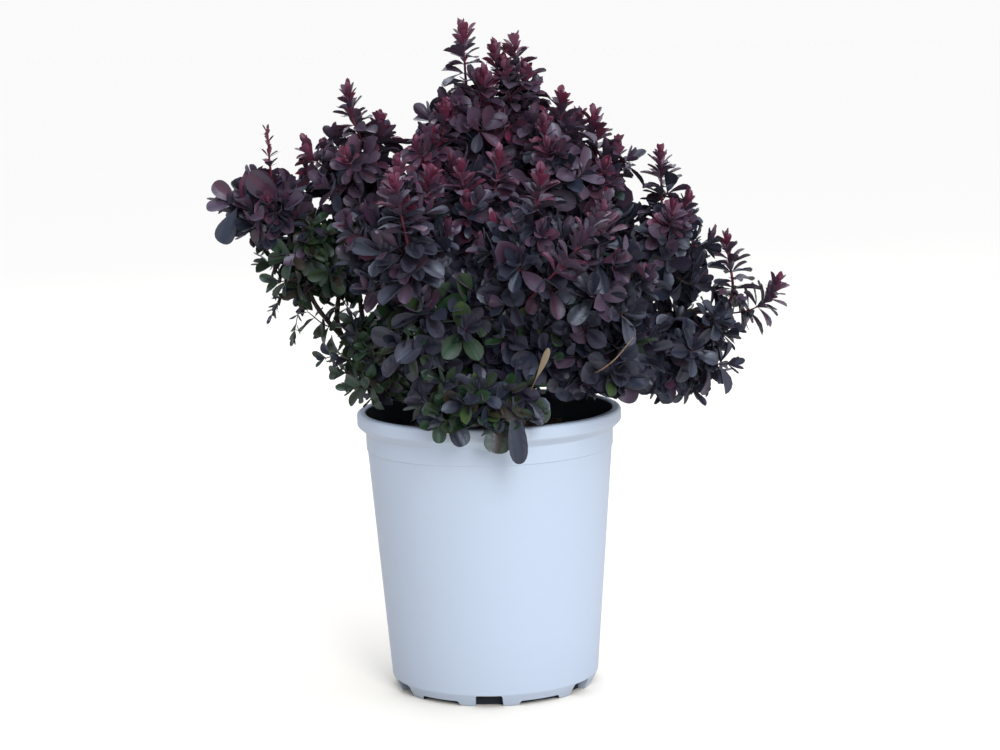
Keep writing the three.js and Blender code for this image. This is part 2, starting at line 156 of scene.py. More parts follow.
surround = bpy.data.worlds.new("surround")
surround.use_nodes = True
sky = surround.node_tree
sky_light = sky.nodes["Background"]
direction = node(sky, "SeparateXYZ", {"Vector": node(sky, "TexCoord", {})["Generated"]})
sky_colour = node(sky, "Mix", {
    "Factor": direction["Z"],
    "A": (*SKY_LOW, 1),
    "B": (*SKY_HIGH, 1),
}, data_type="RGBA")
side_strength = node(sky, "Math", {0: direction["X"], 1: SKY_SIDE, 2: 1}, operation="MULTIPLY_ADD")
feed(sky, sky_light, {"Color": sky_colour["Result"], "Strength": side_strength["Value"]})
seen_or_lighting = node(sky, "MixShader", {
    "Fac": node(sky, "LightPath", {})["Is Camera Ray"],
    1: sky_light.outputs["Background"],
    2: node(sky, "Background", {"Color": (PALE, PALE, PALE, 1)})["Background"],
})
feed(sky, sky.nodes["World Output"], {"Surface": seen_or_lighting["Shader"]})
bpy.context.scene.world = surround
bpy.context.scene.view_settings.view_transform = "Standard"

for lamp_name, place, size, power, colour in LAMPS:
    lamp_data = bpy.data.lights.new(lamp_name, "AREA")
    lamp_data.shape = "RECTANGLE"
    lamp_data.size, lamp_data.size_y = size
    lamp_data.energy = power
    lamp_data.color = colour
    lamp = bpy.data.objects.new(lamp_name, lamp_data)
    lamp.location = place
    lamp.rotation_euler = (LAMP_TARGET - place).to_track_quat("-Z", "Y").to_euler()
    bpy.context.scene.collection.objects.link(lamp)


# The pot: an injection-moulded nursery container of polypropylene, white outside over a black inner layer. It
# has a rolled rim, a stacking step below the rim, a bevelled foot with six drain openings, and an edge raised
# between them so that air passes under it.
POT_HEIGHT = 246 * MM
RIM_RADIUS = 116 * MM
RIM_INNER = 107.3 * MM
RIM_BAND = 11 * MM
RIM_CHAMFER = 6.5 * MM
NECK_RADIUS = 108.4 * MM
STEP_HEIGHT = 213 * MM
STEP_DEPTH = 0.9 * MM
BASE_RADIUS = 91.6 * MM
CREASE_HEIGHT = 11 * MM
FOOT_RADIUS = 86 * MM
FOOT_INNER = 79 * MM
HUB_RADIUS = 27 * MM
FLOOR_UNDER = 5 * MM
FLOOR_TOP = 8 * MM
WALL = 1.6 * MM
POT_SIDES = 192
DRAINS = 6
FIRST_DRAIN = -94
DRAIN_WIDTH = 23 * MM
DRAIN_HEIGHT = 10.5 * MM
RAISED_WIDTH = 36 * MM
RAISED_HEIGHT = 4.2 * MM
REAL_EDGE = 32
DUST_HEIGHT = 60 * MM
WHITE_LAYER = 2.2 * MM
LIP_DEPTH = 3 * MM
LIP_EDGE = 0.6 * MM
LOOKS_IN = -0.2


def rounded(corners, steps=5):
    """The outline through (across, up, fillet) corners, with an arc where the fillet isn't 0."""
    places = [Vector(corner[:2]) for corner in corners]
    outline = []
    for i, (_, _, fillet) in enumerate(corners):
        corner = places[i]
        if not fillet:
            outline.append(corner)
            continue
        back = (places[i - 1] - corner).normalized()
        ahead = (places[(i + 1) % len(places)] - corner).normalized()
        half = back.angle(ahead) / 2
        middle = corner + (back + ahead).normalized() * fillet / math.sin(half)
        start = corner + back * fillet / math.tan(half) - middle
        end = corner + ahead * fillet / math.tan(half) - middle
        sweep = start.angle_signed(end)
        outline += [middle + Matrix.Rotation(-sweep * k / steps, 2) @ start for k in range(steps + 1)]
    return outline


def turned(outline, sides):
    """A solid of revolution from an outline of radius and height that starts and ends on the axis."""
    mesh = bmesh.new()
    rings = []
    for radius, z in outline:
        if radius < 1e-6:
            rings.append([mesh.verts.new((0, 0, z))] * sides)
            continue
        turns = [2 * math.pi * k / sides for k in range(sides)]
        rings.append([mesh.verts.new((radius * math.cos(t), radius * math.sin(t), z)) for t in turns])
    for low, high in zip(rings, rings[1:]):
        for k in range(sides):
            corners = [low[k], low[(k + 1) % sides], high[(k + 1) % sides], high[k]]
            mesh.faces.new(list(dict.fromkeys(corners)))
    return mesh


def opening_cutter(mesh, bearing, width, height, slope, fillet):
    """Adds a block that cuts one opening into the pot's lower edge, from the inside of the foot outwards."""
    below = -3 * MM
    outline = rounded([
        (-width / 2 - slope, below, 0),
        (width / 2 + slope, below, 0),
        (width / 2, height, fillet),
        (-width / 2, height, fillet),
    ])
    turn = Matrix.Rotation(math.radians(bearing), 3, "Z")
    ends = []
    for radius in (FOOT_INNER, RIM_RADIUS):
        ends.append([mesh.verts.new(turn @ Vector((radius, across, z))) for across, z in outline])
    near, far = ends
    mesh.faces.new(near[::-1])
    mesh.faces.new(far)
    for k in range(len(outline)):
        after = (k + 1) % len(outline)
        mesh.faces.new([near[k], near[after], far[after], far[k]])


def finished(mesh, name):
    """The bmesh as a mesh, smooth but for its real edges."""
    bmesh.ops.recalc_face_normals(mesh, faces=mesh.faces)
    data = bpy.data.meshes.new(name)
    mesh.to_mesh(data)
    mesh.free()
    data.shade_smooth()
    data.set_sharp_from_angle(angle=math.radians(REAL_EDGE))
    return data


def outer_radius(z):
    """Radius of the pot's outside wall at a height between the crease and the neck."""
    share = (z - CREASE_HEIGHT) / (STEP_HEIGHT - CREASE_HEIGHT)
    return BASE_RADIUS + share * (NECK_RADIUS - STEP_DEPTH - BASE_RADIUS)


def inner_radius(z):
    """Radius of the pot's wall inside, which the soil follows."""
    share = (z - CREASE_HEIGHT) / (POT_HEIGHT - CREASE_HEIGHT)
    return BASE_RADIUS - WALL + share * (RIM_INNER - BASE_RADIUS + WALL)


def node_group(name, takes, gives):
    """A new node group and what it is given. takes and gives name its sockets and their kinds."""
    group = bpy.data.node_groups.new(name, "ShaderNodeTree")
    for sockets, in_out in ((takes, "INPUT"), (gives, "OUTPUT")):
        for socket, kind in sockets.items():
            group.interface.new_socket(socket, in_out=in_out, socket_type="NodeSocket" + kind)
    return group, group.nodes.new("NodeGroupInput").outputs


def bump(tree, height, strength, distance):
    """The normal of a surface that rises and falls with the height it is given."""
    return node(tree, "Bump", {"Strength": strength, "Distance": distance, "Height": height})["Normal"]


def wear_group():
    """Handling marks on moulded plastic: dull blotches, fine scuffs and dust that gathers at the foot."""
    group, given = node_group(
        "handling_marks",
        {"Clean": "Color", "Soiled": "Color", "Amount": "Float", "Gloss": "Float", "Dust Height": "Float"},
        {"Color": "Color", "Roughness": "Float", "Height": "Float"},
    )
    place = node(group, "TexCoord", {})["Object"]
    blotches = node(group, "TexNoise", {"Vector": place, "Scale": 14, "Detail": 6})["Fac"]
    drawn_out = node(group, "Mapping", {"Vector": place, "Scale": (60, 60, 900)})["Vector"]
    scuffs = node(group, "TexNoise", {"Vector": drawn_out, "Scale": 1, "Detail": 8})["Fac"]
    near_foot = node(group, "MapRange", {
        "Value": node(group, "SeparateXYZ", {"Vector": place})["Z"],
        "From Max": given["Dust Height"],
        "To Min": 1,
        "To Max": 0,
    })["Result"]
    flecks = node(group, "MapRange", {"Value": scuffs, "From Min": 0.62, "From Max": 0.78})["Result"]
    worn = node(group, "Math", {0: near_foot, 1: blotches, 2: flecks}, operation="MULTIPLY_ADD")["Value"]
    amount = node(group, "Math", {0: worn, 1: given["Amount"]}, operation="MULTIPLY", use_clamp=True)["Value"]
    tint = node(group, "Mix", {"Factor": amount, "A": given["Clean"], "B": given["Soiled"]}, data_type="RGBA")
    dull = node(group, "Math", {0: blotches, 1: 0.16, 2: given["Gloss"]}, operation="MULTIPLY_ADD")
    feed(group, group.nodes.new("NodeGroupOutput"), {
        "Color": tint["Result"],
        "Roughness": dull["Value"],
        "Height": scuffs,
    })
    return group


handling_marks = wear_group()


def plastic(name, clean, soiled, amount, gloss, shine, relief):
    """Moulded polypropylene with its handling marks."""
    material, tree, principled = shader(name)
    marks = node(tree, "Group", {
        "Clean": (*clean, 1),
        "Soiled": (*soiled, 1),
        "Amount": amount,
        "Gloss": gloss,
        "Dust Height": DUST_HEIGHT,
    }, node_tree=handling_marks)
    feed(tree, principled, {
        "Base Color": marks["Color"],
        "Roughness": marks["Roughness"],
        "Specular IOR Level": shine,
        "Normal": bump(tree, marks["Height"], relief, 0.2 * MM),
    })
    return material


white_plastic = plastic("white_plastic", (0.565, 0.645, 0.775), (0.40, 0.40, 0.42), 0.16, 0.30, 0.45, 0.05)
black_plastic = plastic("black_plastic", (0.034, 0.040, 0.050), (0.05, 0.05, 0.05), 0.3, 0.6, 0.15, 0.1)

band_foot = POT_HEIGHT - RIM_BAND
pot_solid = turned(
    rounded([
        (0, 0, 0),
        (HUB_RADIUS, 0, 1 * MM),
        (HUB_RADIUS + 3 * MM, FLOOR_UNDER, 1 * MM),
        (FOOT_INNER - 3 * MM, FLOOR_UNDER, 1 * MM),
        (FOOT_INNER, 0, 0.8 * MM),
        (FOOT_RADIUS, 0, 1.6 * MM),
        (BASE_RADIUS, CREASE_HEIGHT, 5 * MM),
        (NECK_RADIUS - STEP_DEPTH, STEP_HEIGHT, 0.3 * MM),
        (NECK_RADIUS, STEP_HEIGHT + 0.6 * MM, 0.3 * MM),
        (NECK_RADIUS + 0.3 * MM, band_foot - RIM_CHAMFER, 3 * MM),
        (RIM_RADIUS, band_foot, 3.2 * MM),
        (RIM_RADIUS, POT_HEIGHT, 2.6 * MM),
        (RIM_INNER + 1.2 * MM, POT_HEIGHT, 1.4 * MM),
        (RIM_INNER, POT_HEIGHT - 6 * MM, 1 * MM),
        (inner_radius(CREASE_HEIGHT), CREASE_HEIGHT, 0),
        (inner_radius(CREASE_HEIGHT) - 2 * MM, FLOOR_TOP, 0),
        (0, FLOOR_TOP, 0),
    ]),
    POT_SIDES,
)
pot = piece_of("white_pot", finished(pot_solid, "white_pot"), [white_plastic, black_plastic])
cutter_solid = bmesh.new()
for k in range(DRAINS):
    bearing = FIRST_DRAIN + k * 360 / DRAINS
    opening_cutter(cutter_solid, bearing, DRAIN_WIDTH, DRAIN_HEIGHT, 0.6 * MM, 2 * MM)
    opening_cutter(cutter_solid, bearing + 180 / DRAINS, RAISED_WIDTH, RAISED_HEIGHT, 3 * MM, 1.5 * MM)
cutter = piece_of("openings", finished(cutter_solid, "openings"), [])
cut = pot.modifiers.new("openings", "BOOLEAN")
cut.object = cutter
cut.solver = "EXACT"
pot_mesh = bpy.data.meshes.new_from_object(pot.evaluated_get(bpy.context.evaluated_depsgraph_get()))
pot.modifiers.clear()
pot.data = pot_mesh
bpy.data.objects.remove(cutter)
for face in pot_mesh.polygons:
    middle = Vector(face.center)
    radius = math.hypot(middle.x, middle.y)
    skin = outer_radius(min(middle.z, STEP_HEIGHT)) if middle.z > CREASE_HEIGHT else FOOT_RADIUS
    looks_out = face.normal.dot(middle * Vector((1, 1, 0))) > LOOKS_IN * radius
    lip = middle.z > POT_HEIGHT - LIP_DEPTH and radius > RIM_INNER + LIP_EDGE
    outside = looks_out and radius > skin - WHITE_LAYER or lip
    under = middle.z < FLOOR_UNDER + 0.1 * MM and face.normal.z < -0.5
    face.material_index = 0 if outside or under else 1
pot_mesh.shade_smooth()
pot_mesh.set_sharp_from_angle(angle=math.radians(REAL_EDGE))
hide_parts("pot")
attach(pot, "root")


# The potting mix: dark moist peat, dished a little towards the wall, with shreds and chips of composted bark
# strewn over it. It fills the pot to a finger's width below the rim.
SOIL_TOP = 224 * MM
SOIL_DISH = 2.5 * MM
SOIL_MOUND = 39 * MM
SOIL_CLEAR = 0.4 * MM
SOIL_FOOT = FLOOR_TOP + 0.3 * MM
SOIL_RINGS = 70
SOIL_SIDES = 180
CRUMB = 1.6 * MM
LUMP_SCALE = 90
GRIT_SCALE = 620
WALL_FADE = 4 * MM
CHIPS = 900
CHIP_SIZE = (2.5 * MM, 12 * MM)
CHIP_SPREAD = 0.97
MOSTLY_SMALL = 2.5
CHIP_LEAN = 0.7
CHIP_PROUD = 0.3
CHIP_CORNERS = [(x, y, z) for z in (-1, 1) for x, y in ((-1, -1), (1, -1), (1, 1), (-1, 1))]
CHIP_FACES = ((3, 2, 1, 0), (4, 5, 6, 7), (0, 1, 5, 4), (1, 2, 6, 5), (2, 3, 7, 6), (3, 0, 4, 7))
SOIL_SEED = 9


def drawer(seed):
    """A repeatable draw between 0 and 1, the same one that the solids use."""
    state = seed

    def draw():
        nonlocal state
        state = (state * 1664525 + 1013904223) % 4294967296
        return state / 4294967296

    return draw


def between(low, high, share):
    """The value that lies this share of the way from low to high."""
    return low + (high - low) * share


def soil_height(x, y):
    """Height of the soil's surface, with its crumbs."""
    radius = math.hypot(x, y)
    slope = max(0.0, radius - SOIL_MOUND) / (inner_radius(SOIL_TOP) - SOIL_MOUND)
    lumps = noise.fractal(Vector((x, y, 0)) * LUMP_SCALE, 0.6, 2.1, 5)
    grit = noise.noise(Vector((x, y, 3)) * GRIT_SCALE)
    edge = min(1.0, (inner_radius(SOIL_TOP) - radius) / WALL_FADE)
    return SOIL_TOP - SOIL_DISH * slope - CRUMB * (1 - edge) + CRUMB * edge * (0.7 * lumps + 0.35 * grit)


def two_browns(name, dark, light, span, grain, relief, roughness, drawn_out=None):
    """Peat or bark: two browns mixed by a noise that also pits it and may be drawn out along an axis."""
    material, tree, principled = shader(name)
    place = node(tree, "TexCoord", {})["Object"]
    if drawn_out:
        place = node(tree, "Mapping", {"Vector": place, "Scale": drawn_out})["Vector"]
    mottle = node(tree, "TexNoise", {"Vector": place, **grain})["Fac"]
    ramp = tree.nodes.new("ShaderNodeValToRGB")
    for stop, position, colour in zip(ramp.color_ramp.elements, span, (dark, light)):
        stop.position = position
        stop.color = (*colour, 1)
    feed(tree, ramp, {"Fac": mottle})
    feed(tree, principled, {
        "Base Color": ramp.outputs["Color"],
        "Roughness": roughness,
        "Normal": bump(tree, mottle, *relief),
    })
    return material


def crumbly(name, dark, light, scale):
    """Peat or composted bark: coarse crumbs, rough all over and finely pitted."""
    grain = {"Scale": scale, "Detail": 9, "Roughness": 0.7}
    return two_browns(name, dark, light, (0.36, 0.7), grain, (0.7, 0.6 * MM), 0.93)


peat = crumbly("peat", (0.006, 0.005, 0.004), (0.05, 0.034, 0.022), 260)
chip_bark = crumbly("chip_bark", (0.02, 0.012, 0.008), (0.13, 0.08, 0.05), 420)

soil_edge = inner_radius(SOIL_TOP) - SOIL_CLEAR
soil_outline = [
    (0, SOIL_FOOT),
    (inner_radius(CREASE_HEIGHT) - SOIL_CLEAR - 2.4 * MM, SOIL_FOOT),
    (inner_radius(CREASE_HEIGHT) - SOIL_CLEAR, CREASE_HEIGHT + 0.6 * MM),
]
soil_outline += [(soil_edge * (1 - k / SOIL_RINGS), SOIL_TOP) for k in range(SOIL_RINGS + 1)]
soil_solid = turned(soil_outline, SOIL_SIDES)
for corner in soil_solid.verts:
    if corner.co.z > SOIL_TOP - 1e-6:
        corner.co.z = soil_height(corner.co.x, corner.co.y)
soil = piece_of("potting_mix", finished(soil_solid, "potting_mix"), [peat])
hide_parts("soil")
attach(soil, "root")

draw = drawer(SOIL_SEED)
chip_solid = bmesh.new()
for _ in range(CHIPS):
    radius = CHIP_SPREAD * soil_edge * math.sqrt(draw())
    turn = draw() * 2 * math.pi
    x, y = radius * math.cos(turn), radius * math.sin(turn)
    length = between(*CHIP_SIZE, draw() ** MOSTLY_SMALL)
    size = Vector((length, length * (0.3 + 0.4 * draw()), length * (0.12 + 0.12 * draw())))
    if radius + length / 2 > soil_edge:
        continue
    tilt = Matrix.Rotation((draw() - 0.5) * CHIP_LEAN, 3, "X")
    lean = tilt @ Matrix.Rotation((draw() - 0.5) * CHIP_LEAN, 3, "Y")
    turned_by = Matrix.Rotation(draw() * math.pi, 3, "Z") @ lean
    centre = Vector((x, y, soil_height(x, y) + size.z * CHIP_PROUD))
    corners = []
    for sx, sy, sz in CHIP_CORNERS:
        shrink = 0.62 + 0.38 * draw()
        corner = Vector((sx * size.x * shrink, sy * size.y * (0.6 + 0.4 * draw()), sz * size.z)) / 2
        corners.append(chip_solid.verts.new(centre + turned_by @ corner))
    for face in CHIP_FACES:
        chip_solid.faces.new([corners[k] for k in face])
chips = piece_of("bark_chips", finished(chip_solid, "bark_chips"), [chip_bark])
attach(chips, "root")


# The masses that the shrub is made of: clusters of leafy shoots, each on one limb, that the eye takes in as
# one. Laid out in millimetres, they decide where the limbs end and which shoots and leaves may grow where.
#
# heart: the middle of a mass; reach: how far it spreads along X, Y and Z; tips: the top of each leading
# shoot; tops: where its shoots end, if not at the tips; habits: of what kind these are, if not all spires;
# leaning: more shoots, each with its kind and the places it passes; fork: where the outer shoots leave the
# first one, or below 0 where they leave the limb, counted back from its end. source and at: the limb that
# its own limb forks from, and how far along; via: places that this limb passes; inner: that its stem stands
# in the crown's inner ring. sides and upto: how many side shoots it has, and how high up they start; gap:
# the bearing on which it has none; spurs: how many each shoot has; low: the height that its leaves end at;
# shade: the share of its leaves that grew in shade; young: the least share of this year's leaves; leaf:
# their scale.
MASSES = {
    "top_left": dict(
        heart=(-10, 5, 496), reach=(42, 48, 48), tips=[(-14, 5, 584)], tops=[(-14, 5, 584), (4, -20, 546)],
        inner=True, sides=11, upto=0.5, spurs=1, leaf=1.08),
    "top_right": dict(
        heart=(33, 14, 484), reach=(42, 48, 48), tips=[(30, 12, 575), (13, 4, 568), (52, 18, 550)],
        tops=[(30, 12, 575), (13, 4, 568), (39, 4, 550), (21, -8, 555)],
        source="top_left", at=0.6, sides=11, upto=0.5, spurs=1),
    "left_shoulder": dict(
        heart=(-42, -22, 456), reach=(42, 44, 46), tips=[(-32, -24, 519), (-54, -14, 496)],
        tops=[(-30, -24, 519), (-43, -30, 499)],
        source="top_left", at=0.46, gap=180, spurs=1),
    "right_shoulder": dict(
        heart=(66, -10, 452), reach=(42, 46, 46), tips=[(69, -2, 526), (84, 14, 512)],
        tops=[(69, -2, 526), (84, 14, 508), (53, -40, 505)], source="top_left", at=0.34, sides=10, spurs=1),
    "right_wing": dict(
        heart=(106, 4, 424), reach=(38, 48, 50), tips=[(97, 4, 508), (120, -4, 484)],
        tops=[(97, 4, 508), (116, -4, 484), (104, -24, 466)],
        source="right_hill", at=0.32, sides=10, gap=0, spurs=1),
    "centre": dict(
        heart=(-8, -60, 404), reach=(52, 46, 54), tips=[(-18, -66, 470), (14, -58, 480)], inner=True),
    "left_hill": dict(
        heart=(-112, 4, 456), reach=(46, 50, 46), tips=[(-114, 0, 535), (-85, 20, 517)],
        tops=[(-114, 0, 535), (-88, 10, 510), (-150, -8, 490)],
        source="left_skirt", at=0.5, via=[(-107, 0, 318), (-110, 2, 350)],
        sides=12, upto=0.5, gap=0, spurs=1),
    "left_tip": dict(
        heart=(-184, -8, 428), reach=(32, 40, 34), tips=[(-184, -10, 503), (-224, -12, 448)],
        habits=("wisp", "riser"), source="left_skirt", at=0.72, via=[(-150, -4, 344)],
        sides=11, upto=0.3, young=0.4),
    "left_skirt": dict(
        heart=(-152, 0, 388), reach=(50, 46, 44),
        leaning=[
            ("hanger", (-140, -6, 366), (-158, -12, 350), (-168, -16, 316)),
            ("hanger", (-156, 4, 366), (-176, 0, 352), (-187, -4, 334)),
            ("sprig", (-129, 0, 320), (-141, -8, 324), (-155, -10, 336)),
            ("sprig", (-116, 0, 295), (-127, -12, 299), (-141, -18, 296)),
            ("sprig", (-108, 0, 321), (-118, -6, 335), (-128, -8, 350)),
            ("sprig", (-104, 0, 270), (-116, -14, 281), (-128, -24, 284)),
            ("sprig", (-110, 2, 344), (-121, -6, 352), (-133, -8, 364)),
        ],
        via=[(-66, 2, 258), (-104, 0, 270), (-116, 0, 294), (-130, 0, 322)],
        sides=14, upto=0.9, shade=0.8, leaf=0.72),
    "front_left": dict(
        heart=(-70, -94, 404), reach=(48, 44, 54), tips=[(-70, -98, 476), (-44, -92, 468)], gap=120,
        leaning=[("spire", (-56, -112, 352), (-62, -134, 400), (-72, -138, 452))]),
    "front_middle": dict(heart=(36, -104, 388), reach=(50, 42, 52), tips=[(47, -106, 466)]),
    "front_right": dict(
        heart=(94, -102, 362), reach=(46, 44, 46), tips=[(97, -118, 434)],
        leaning=[
            ("lance", (24, -92, 338), (36, -122, 356), (58, -143, 380), (80, -147, 404), (98, -145, 434)),
        ]),
    "right_hill": dict(
        heart=(156, 0, 382), reach=(44, 50, 56), tips=[(154, 0, 475), (176, -6, 436)],
        tops=[(154, 0, 475), (176, -6, 436), (160, -46, 430)], gap=165, spurs=1, leaf=0.92),
    "right_tip": dict(
        heart=(214, -10, 336), reach=(30, 36, 34), tips=[(210, -8, 400), (252, -12, 362)],
        source="right_hill", at=0.56, fork=-0.25, sides=0, spurs=0, young=0.7, leaf=0.8),
    "right_low": dict(
        heart=(170, -22, 302), reach=(50, 48, 52), source="right_hill", at=0.34,
        sides=15, low=246, leaf=0.74),
    "right_side": dict(
        heart=(98, 10, 350), reach=(44, 46, 46), source="right_wing", at=0.3, shade=0.6, leaf=0.85),
    "low_right": dict(
        heart=(92, -84, 298), reach=(44, 44, 36), source="front_right", at=0.5, low=274, shade=0.1),
    "low_middle": dict(
        heart=(34, -84, 312), reach=(44, 40, 40), source="front_middle", at=0.4, low=280, shade=0.2),
    "low_left": dict(heart=(-36, -90, 336), reach=(48, 42, 50), shade=0.25),
    "left_low": dict(
        heart=(-90, -48, 304), reach=(40, 42, 50), source="front_left", at=0.42,
        sides=11, spurs=2, shade=0.85, leaf=0.6),
    "front_low": dict(
        heart=(-6, -118, 268), reach=(52, 32, 32), source="low_left", at=0.5,
        low=252, shade=0.45, leaf=0.85),
    "back_left": dict(
        heart=(-82, 88, 400), reach=(54, 50, 54), tips=[(-92, 98, 482), (-124, 86, 444)],
        tops=[(-92, 98, 454), (-116, 86, 436)], upto=0.4),
    "back_middle": dict(heart=(8, 104, 418), reach=(54, 48, 58), tips=[(6, 112, 510), (38, 118, 478)]),
    "back_right": dict(
        heart=(98, 92, 394), reach=(52, 50, 54), tips=[(104, 100, 476), (134, 92, 438)],
        tops=[(80, 100, 458), (110, 92, 396)], upto=0.3, gap=0),
    "back_low_left": dict(
        heart=(-74, 104, 306), reach=(48, 44, 42), source="back_left", at=0.42, gap=180, shade=0.6),
    "back_low_middle": dict(
        heart=(4, 116, 318), reach=(46, 42, 42), source="back_middle", at=0.4, shade=0.35),
    "back_low_right": dict(
        heart=(84, 106, 304), reach=(48, 44, 42), source="back_right", at=0.42, shade=0.3),
}
CROWN_HEIGHT = 26 * MM
CROWN_TOP = Vector((0, 0, SOIL_TOP + 0.3 * MM + CROWN_HEIGHT))
SPIRE_RADIUS = 24 * MM
SPIRE_BELOW = 20 * MM

for mass in MASSES.values():
    mass["heart"] = Vector(mass["heart"]) * MM
    mass["reach"] = Vector(mass["reach"]) * MM
    mass["tips"] = [Vector(tip) * MM for tip in mass.get("tips", [])]
    mass["tops"] = [Vector(top) * MM for top in mass["tops"]] if "tops" in mass else mass["tips"]
    mass["via"] = [Vector(place) * MM for place in mass.get("via", [])]
    heart_radius = sum(mass["reach"]) / 3
    spires = [tip - UP * SPIRE_BELOW for tip in mass["tips"]]
    mass["balls"] = [(mass["heart"], heart_radius)] + [(spire, SPIRE_RADIUS) for spire in spires]
    mass["balls"] += [((spire + mass["heart"]) / 2, (SPIRE_RADIUS + heart_radius) / 2) for spire in spires]

ball_places = np.array([place for mass in MASSES.values() for place, _ in mass["balls"]])
ball_radii = np.array([radius for mass in MASSES.values() for _, radius in mass["balls"]])
ball_owners = np.array([owner for owner, mass in enumerate(MASSES.values()) for _ in mass["balls"]])


def in_own_space(owner, place, margin):
    """Whether a place lies on its own mass's side of every plane between that mass and the others."""
    power = ((ball_places - np.array(place)) ** 2).sum(axis=1) - ball_radii**2
    own = np.where(ball_owners == owner)[0]
    best = own[power[own].argmin()]
    others = ball_owners != owner
    apart = np.linalg.norm(ball_places[others] - ball_places[best], axis=1)
    return bool(((power[others] - power[best]) / (2 * apart) > margin).all())


# The woody crown and the stems: grey-brown bark, ridged and pitted, over a knotted crown at soil level. Stems
# stand evenly round the crown, and side limbs fork from them.
STEM_BASE = 3.4 * MM
STEM_TIP = 2.0 * MM
SIDE_BASE = 2.3 * MM
SIDE_TIP = 1.7 * MM
OUTER_RING = dict(radius=12.5 * MM, sunk=13 * MM, out=15 * MM, up=15 * MM)
INNER_RING = dict(radius=4.5 * MM, sunk=8 * MM, out=3 * MM, up=30 * MM)
LIMB_SIDES = 12
LIMB_STEP = 2.2 * MM
LIMB_RISE = 4 * MM
BARK_RELIEF = 0.14
BARK_GRAIN = Vector((900, 900, 220))
BARK_KNOTS = 160
BUD_SPACING = 1.9
BUD_SWELL = 0.1
END_SHARE = 0.8
END_CLEAR = 3 * MM
LEAST_REACH = 4 * MM
CROWN_FLARE = 25 * MM
CROWN_WAIST = 17 * MM
CROWN_SHOULDER = 16 * MM
CROWN_LOBES = 5
CROWN_LOBE = 2.2 * MM
CROWN_RINGS = 26
CROWN_SIDES = 60
CROWN_SUNK = 3 * MM
CROWN_KNOTS = Vector((140, 140, 90))
CROWN_GNARL = 0.09
CROWN_BUMPS = 1.4 * MM


def catmull_rom(points, per_span=20):
    """Points along a centripetal Catmull-Rom curve through the given ones."""
    guides = [2 * points[0] - points[1], *points, 2 * points[-1] - points[-2]]
    curve = [points[0].copy()]
    for a, b, c, d in zip(guides, guides[1:], guides[2:], guides[3:]):
        spans = [math.sqrt((q - p).length) for p, q in ((a, b), (b, c), (c, d))]
        leave = ((b - a) / spans[0] - (c - a) / (spans[0] + spans[1]) + (c - b) / spans[1]) * spans[1]
        arrive = ((c - b) / spans[1] - (d - b) / (spans[1] + spans[2]) + (d - c) / spans[2]) * spans[1]
        for k in range(1, per_span + 1):
            t = k / per_span
            curve.append(
                b * (2 * t**3 - 3 * t**2 + 1)
                + leave * (t**3 - 2 * t**2 + t)
                + c * (3 * t**2 - 2 * t**3)
                + arrive * (t**3 - t**2)
            )
    return curve


def bezier(points, count=24):
    """Points along the Bezier curve of three or four guides."""
    curve = []
    for k in range(count + 1):
        layer = list(points)
        while len(layer) > 1:
            layer = [a.lerp(b, k / count) for a, b in zip(layer, layer[1:])]
        curve.append(layer[0])
    return curve


class Wood:
    """A woody piece that tapers along a curve, held as evenly spaced points."""

    def __init__(self, curve, base, tip, step):
        self.base = base
        self.tip = tip
        reach = [0.0]
        for a, b in zip(curve, curve[1:]):
            reach.append(reach[-1] + (b - a).length)
        self.length = reach[-1]
        self.steps = max(2, round(self.length / step))
        wanted = np.linspace(0, self.length, self.steps + 1)
        line = np.array(curve)
        self.points = np.stack([np.interp(wanted, reach, line[:, axis]) for axis in range(3)], axis=1)

    def at(self, share):
        """The place this share of the way along."""
        along = min(max(share, 0.0), 1.0) * self.steps
        ring = min(int(along), self.steps - 1)
        return Vector(self.points[ring]).lerp(Vector(self.points[ring + 1]), along - ring)

    def heading(self, share):
        """The direction it grows in there."""
        ring = min(int(min(max(share, 0.0), 1.0) * self.steps), self.steps - 1)
        return Vector(self.points[ring + 1] - self.points[ring]).normalized()

    def radius_at(self, share):
        return between(self.base, self.tip, share)


def tube(wood, sides, relief, swell=0.0):
    """Vertices and faces of a woody piece. Its bark wanders in and out by the relief, and each bud swells."""
    axes = np.gradient(wood.points, axis=0)
    axes /= np.linalg.norm(axes, axis=1)[:, None]
    side = Vector(axes[0]).orthogonal().normalized()
    vertices = []
    for ring, (place, axis) in enumerate(zip(wood.points, axes)):
        axis = Vector(axis)
        side = (side - axis * side.dot(axis)).normalized()
        across = axis.cross(side)
        bud = swell * max(0.0, math.sin(ring * BUD_SPACING)) ** 6
        radius = wood.radius_at(ring / wood.steps) * (1 + bud)
        for k in range(sides):
            turn = 2 * math.pi * k / sides
            outward = side * math.cos(turn) + across * math.sin(turn)
            spot = Vector(place) + outward * radius
            rough = noise.noise(spot * BARK_GRAIN) + noise.noise(spot * BARK_KNOTS)
            vertices.append(Vector(place) + outward * radius * (1 + relief * rough))
    faces = []
    for ring in range(wood.steps):
        for k in range(sides):
            low, high = ring * sides, (ring + 1) * sides
            after = (k + 1) % sides
            faces.append((low + k, low + after, high + after, high + k))
    faces.append(tuple(range(sides))[::-1])
    faces.append(tuple(wood.steps * sides + k for k in range(sides)))
    return vertices, faces


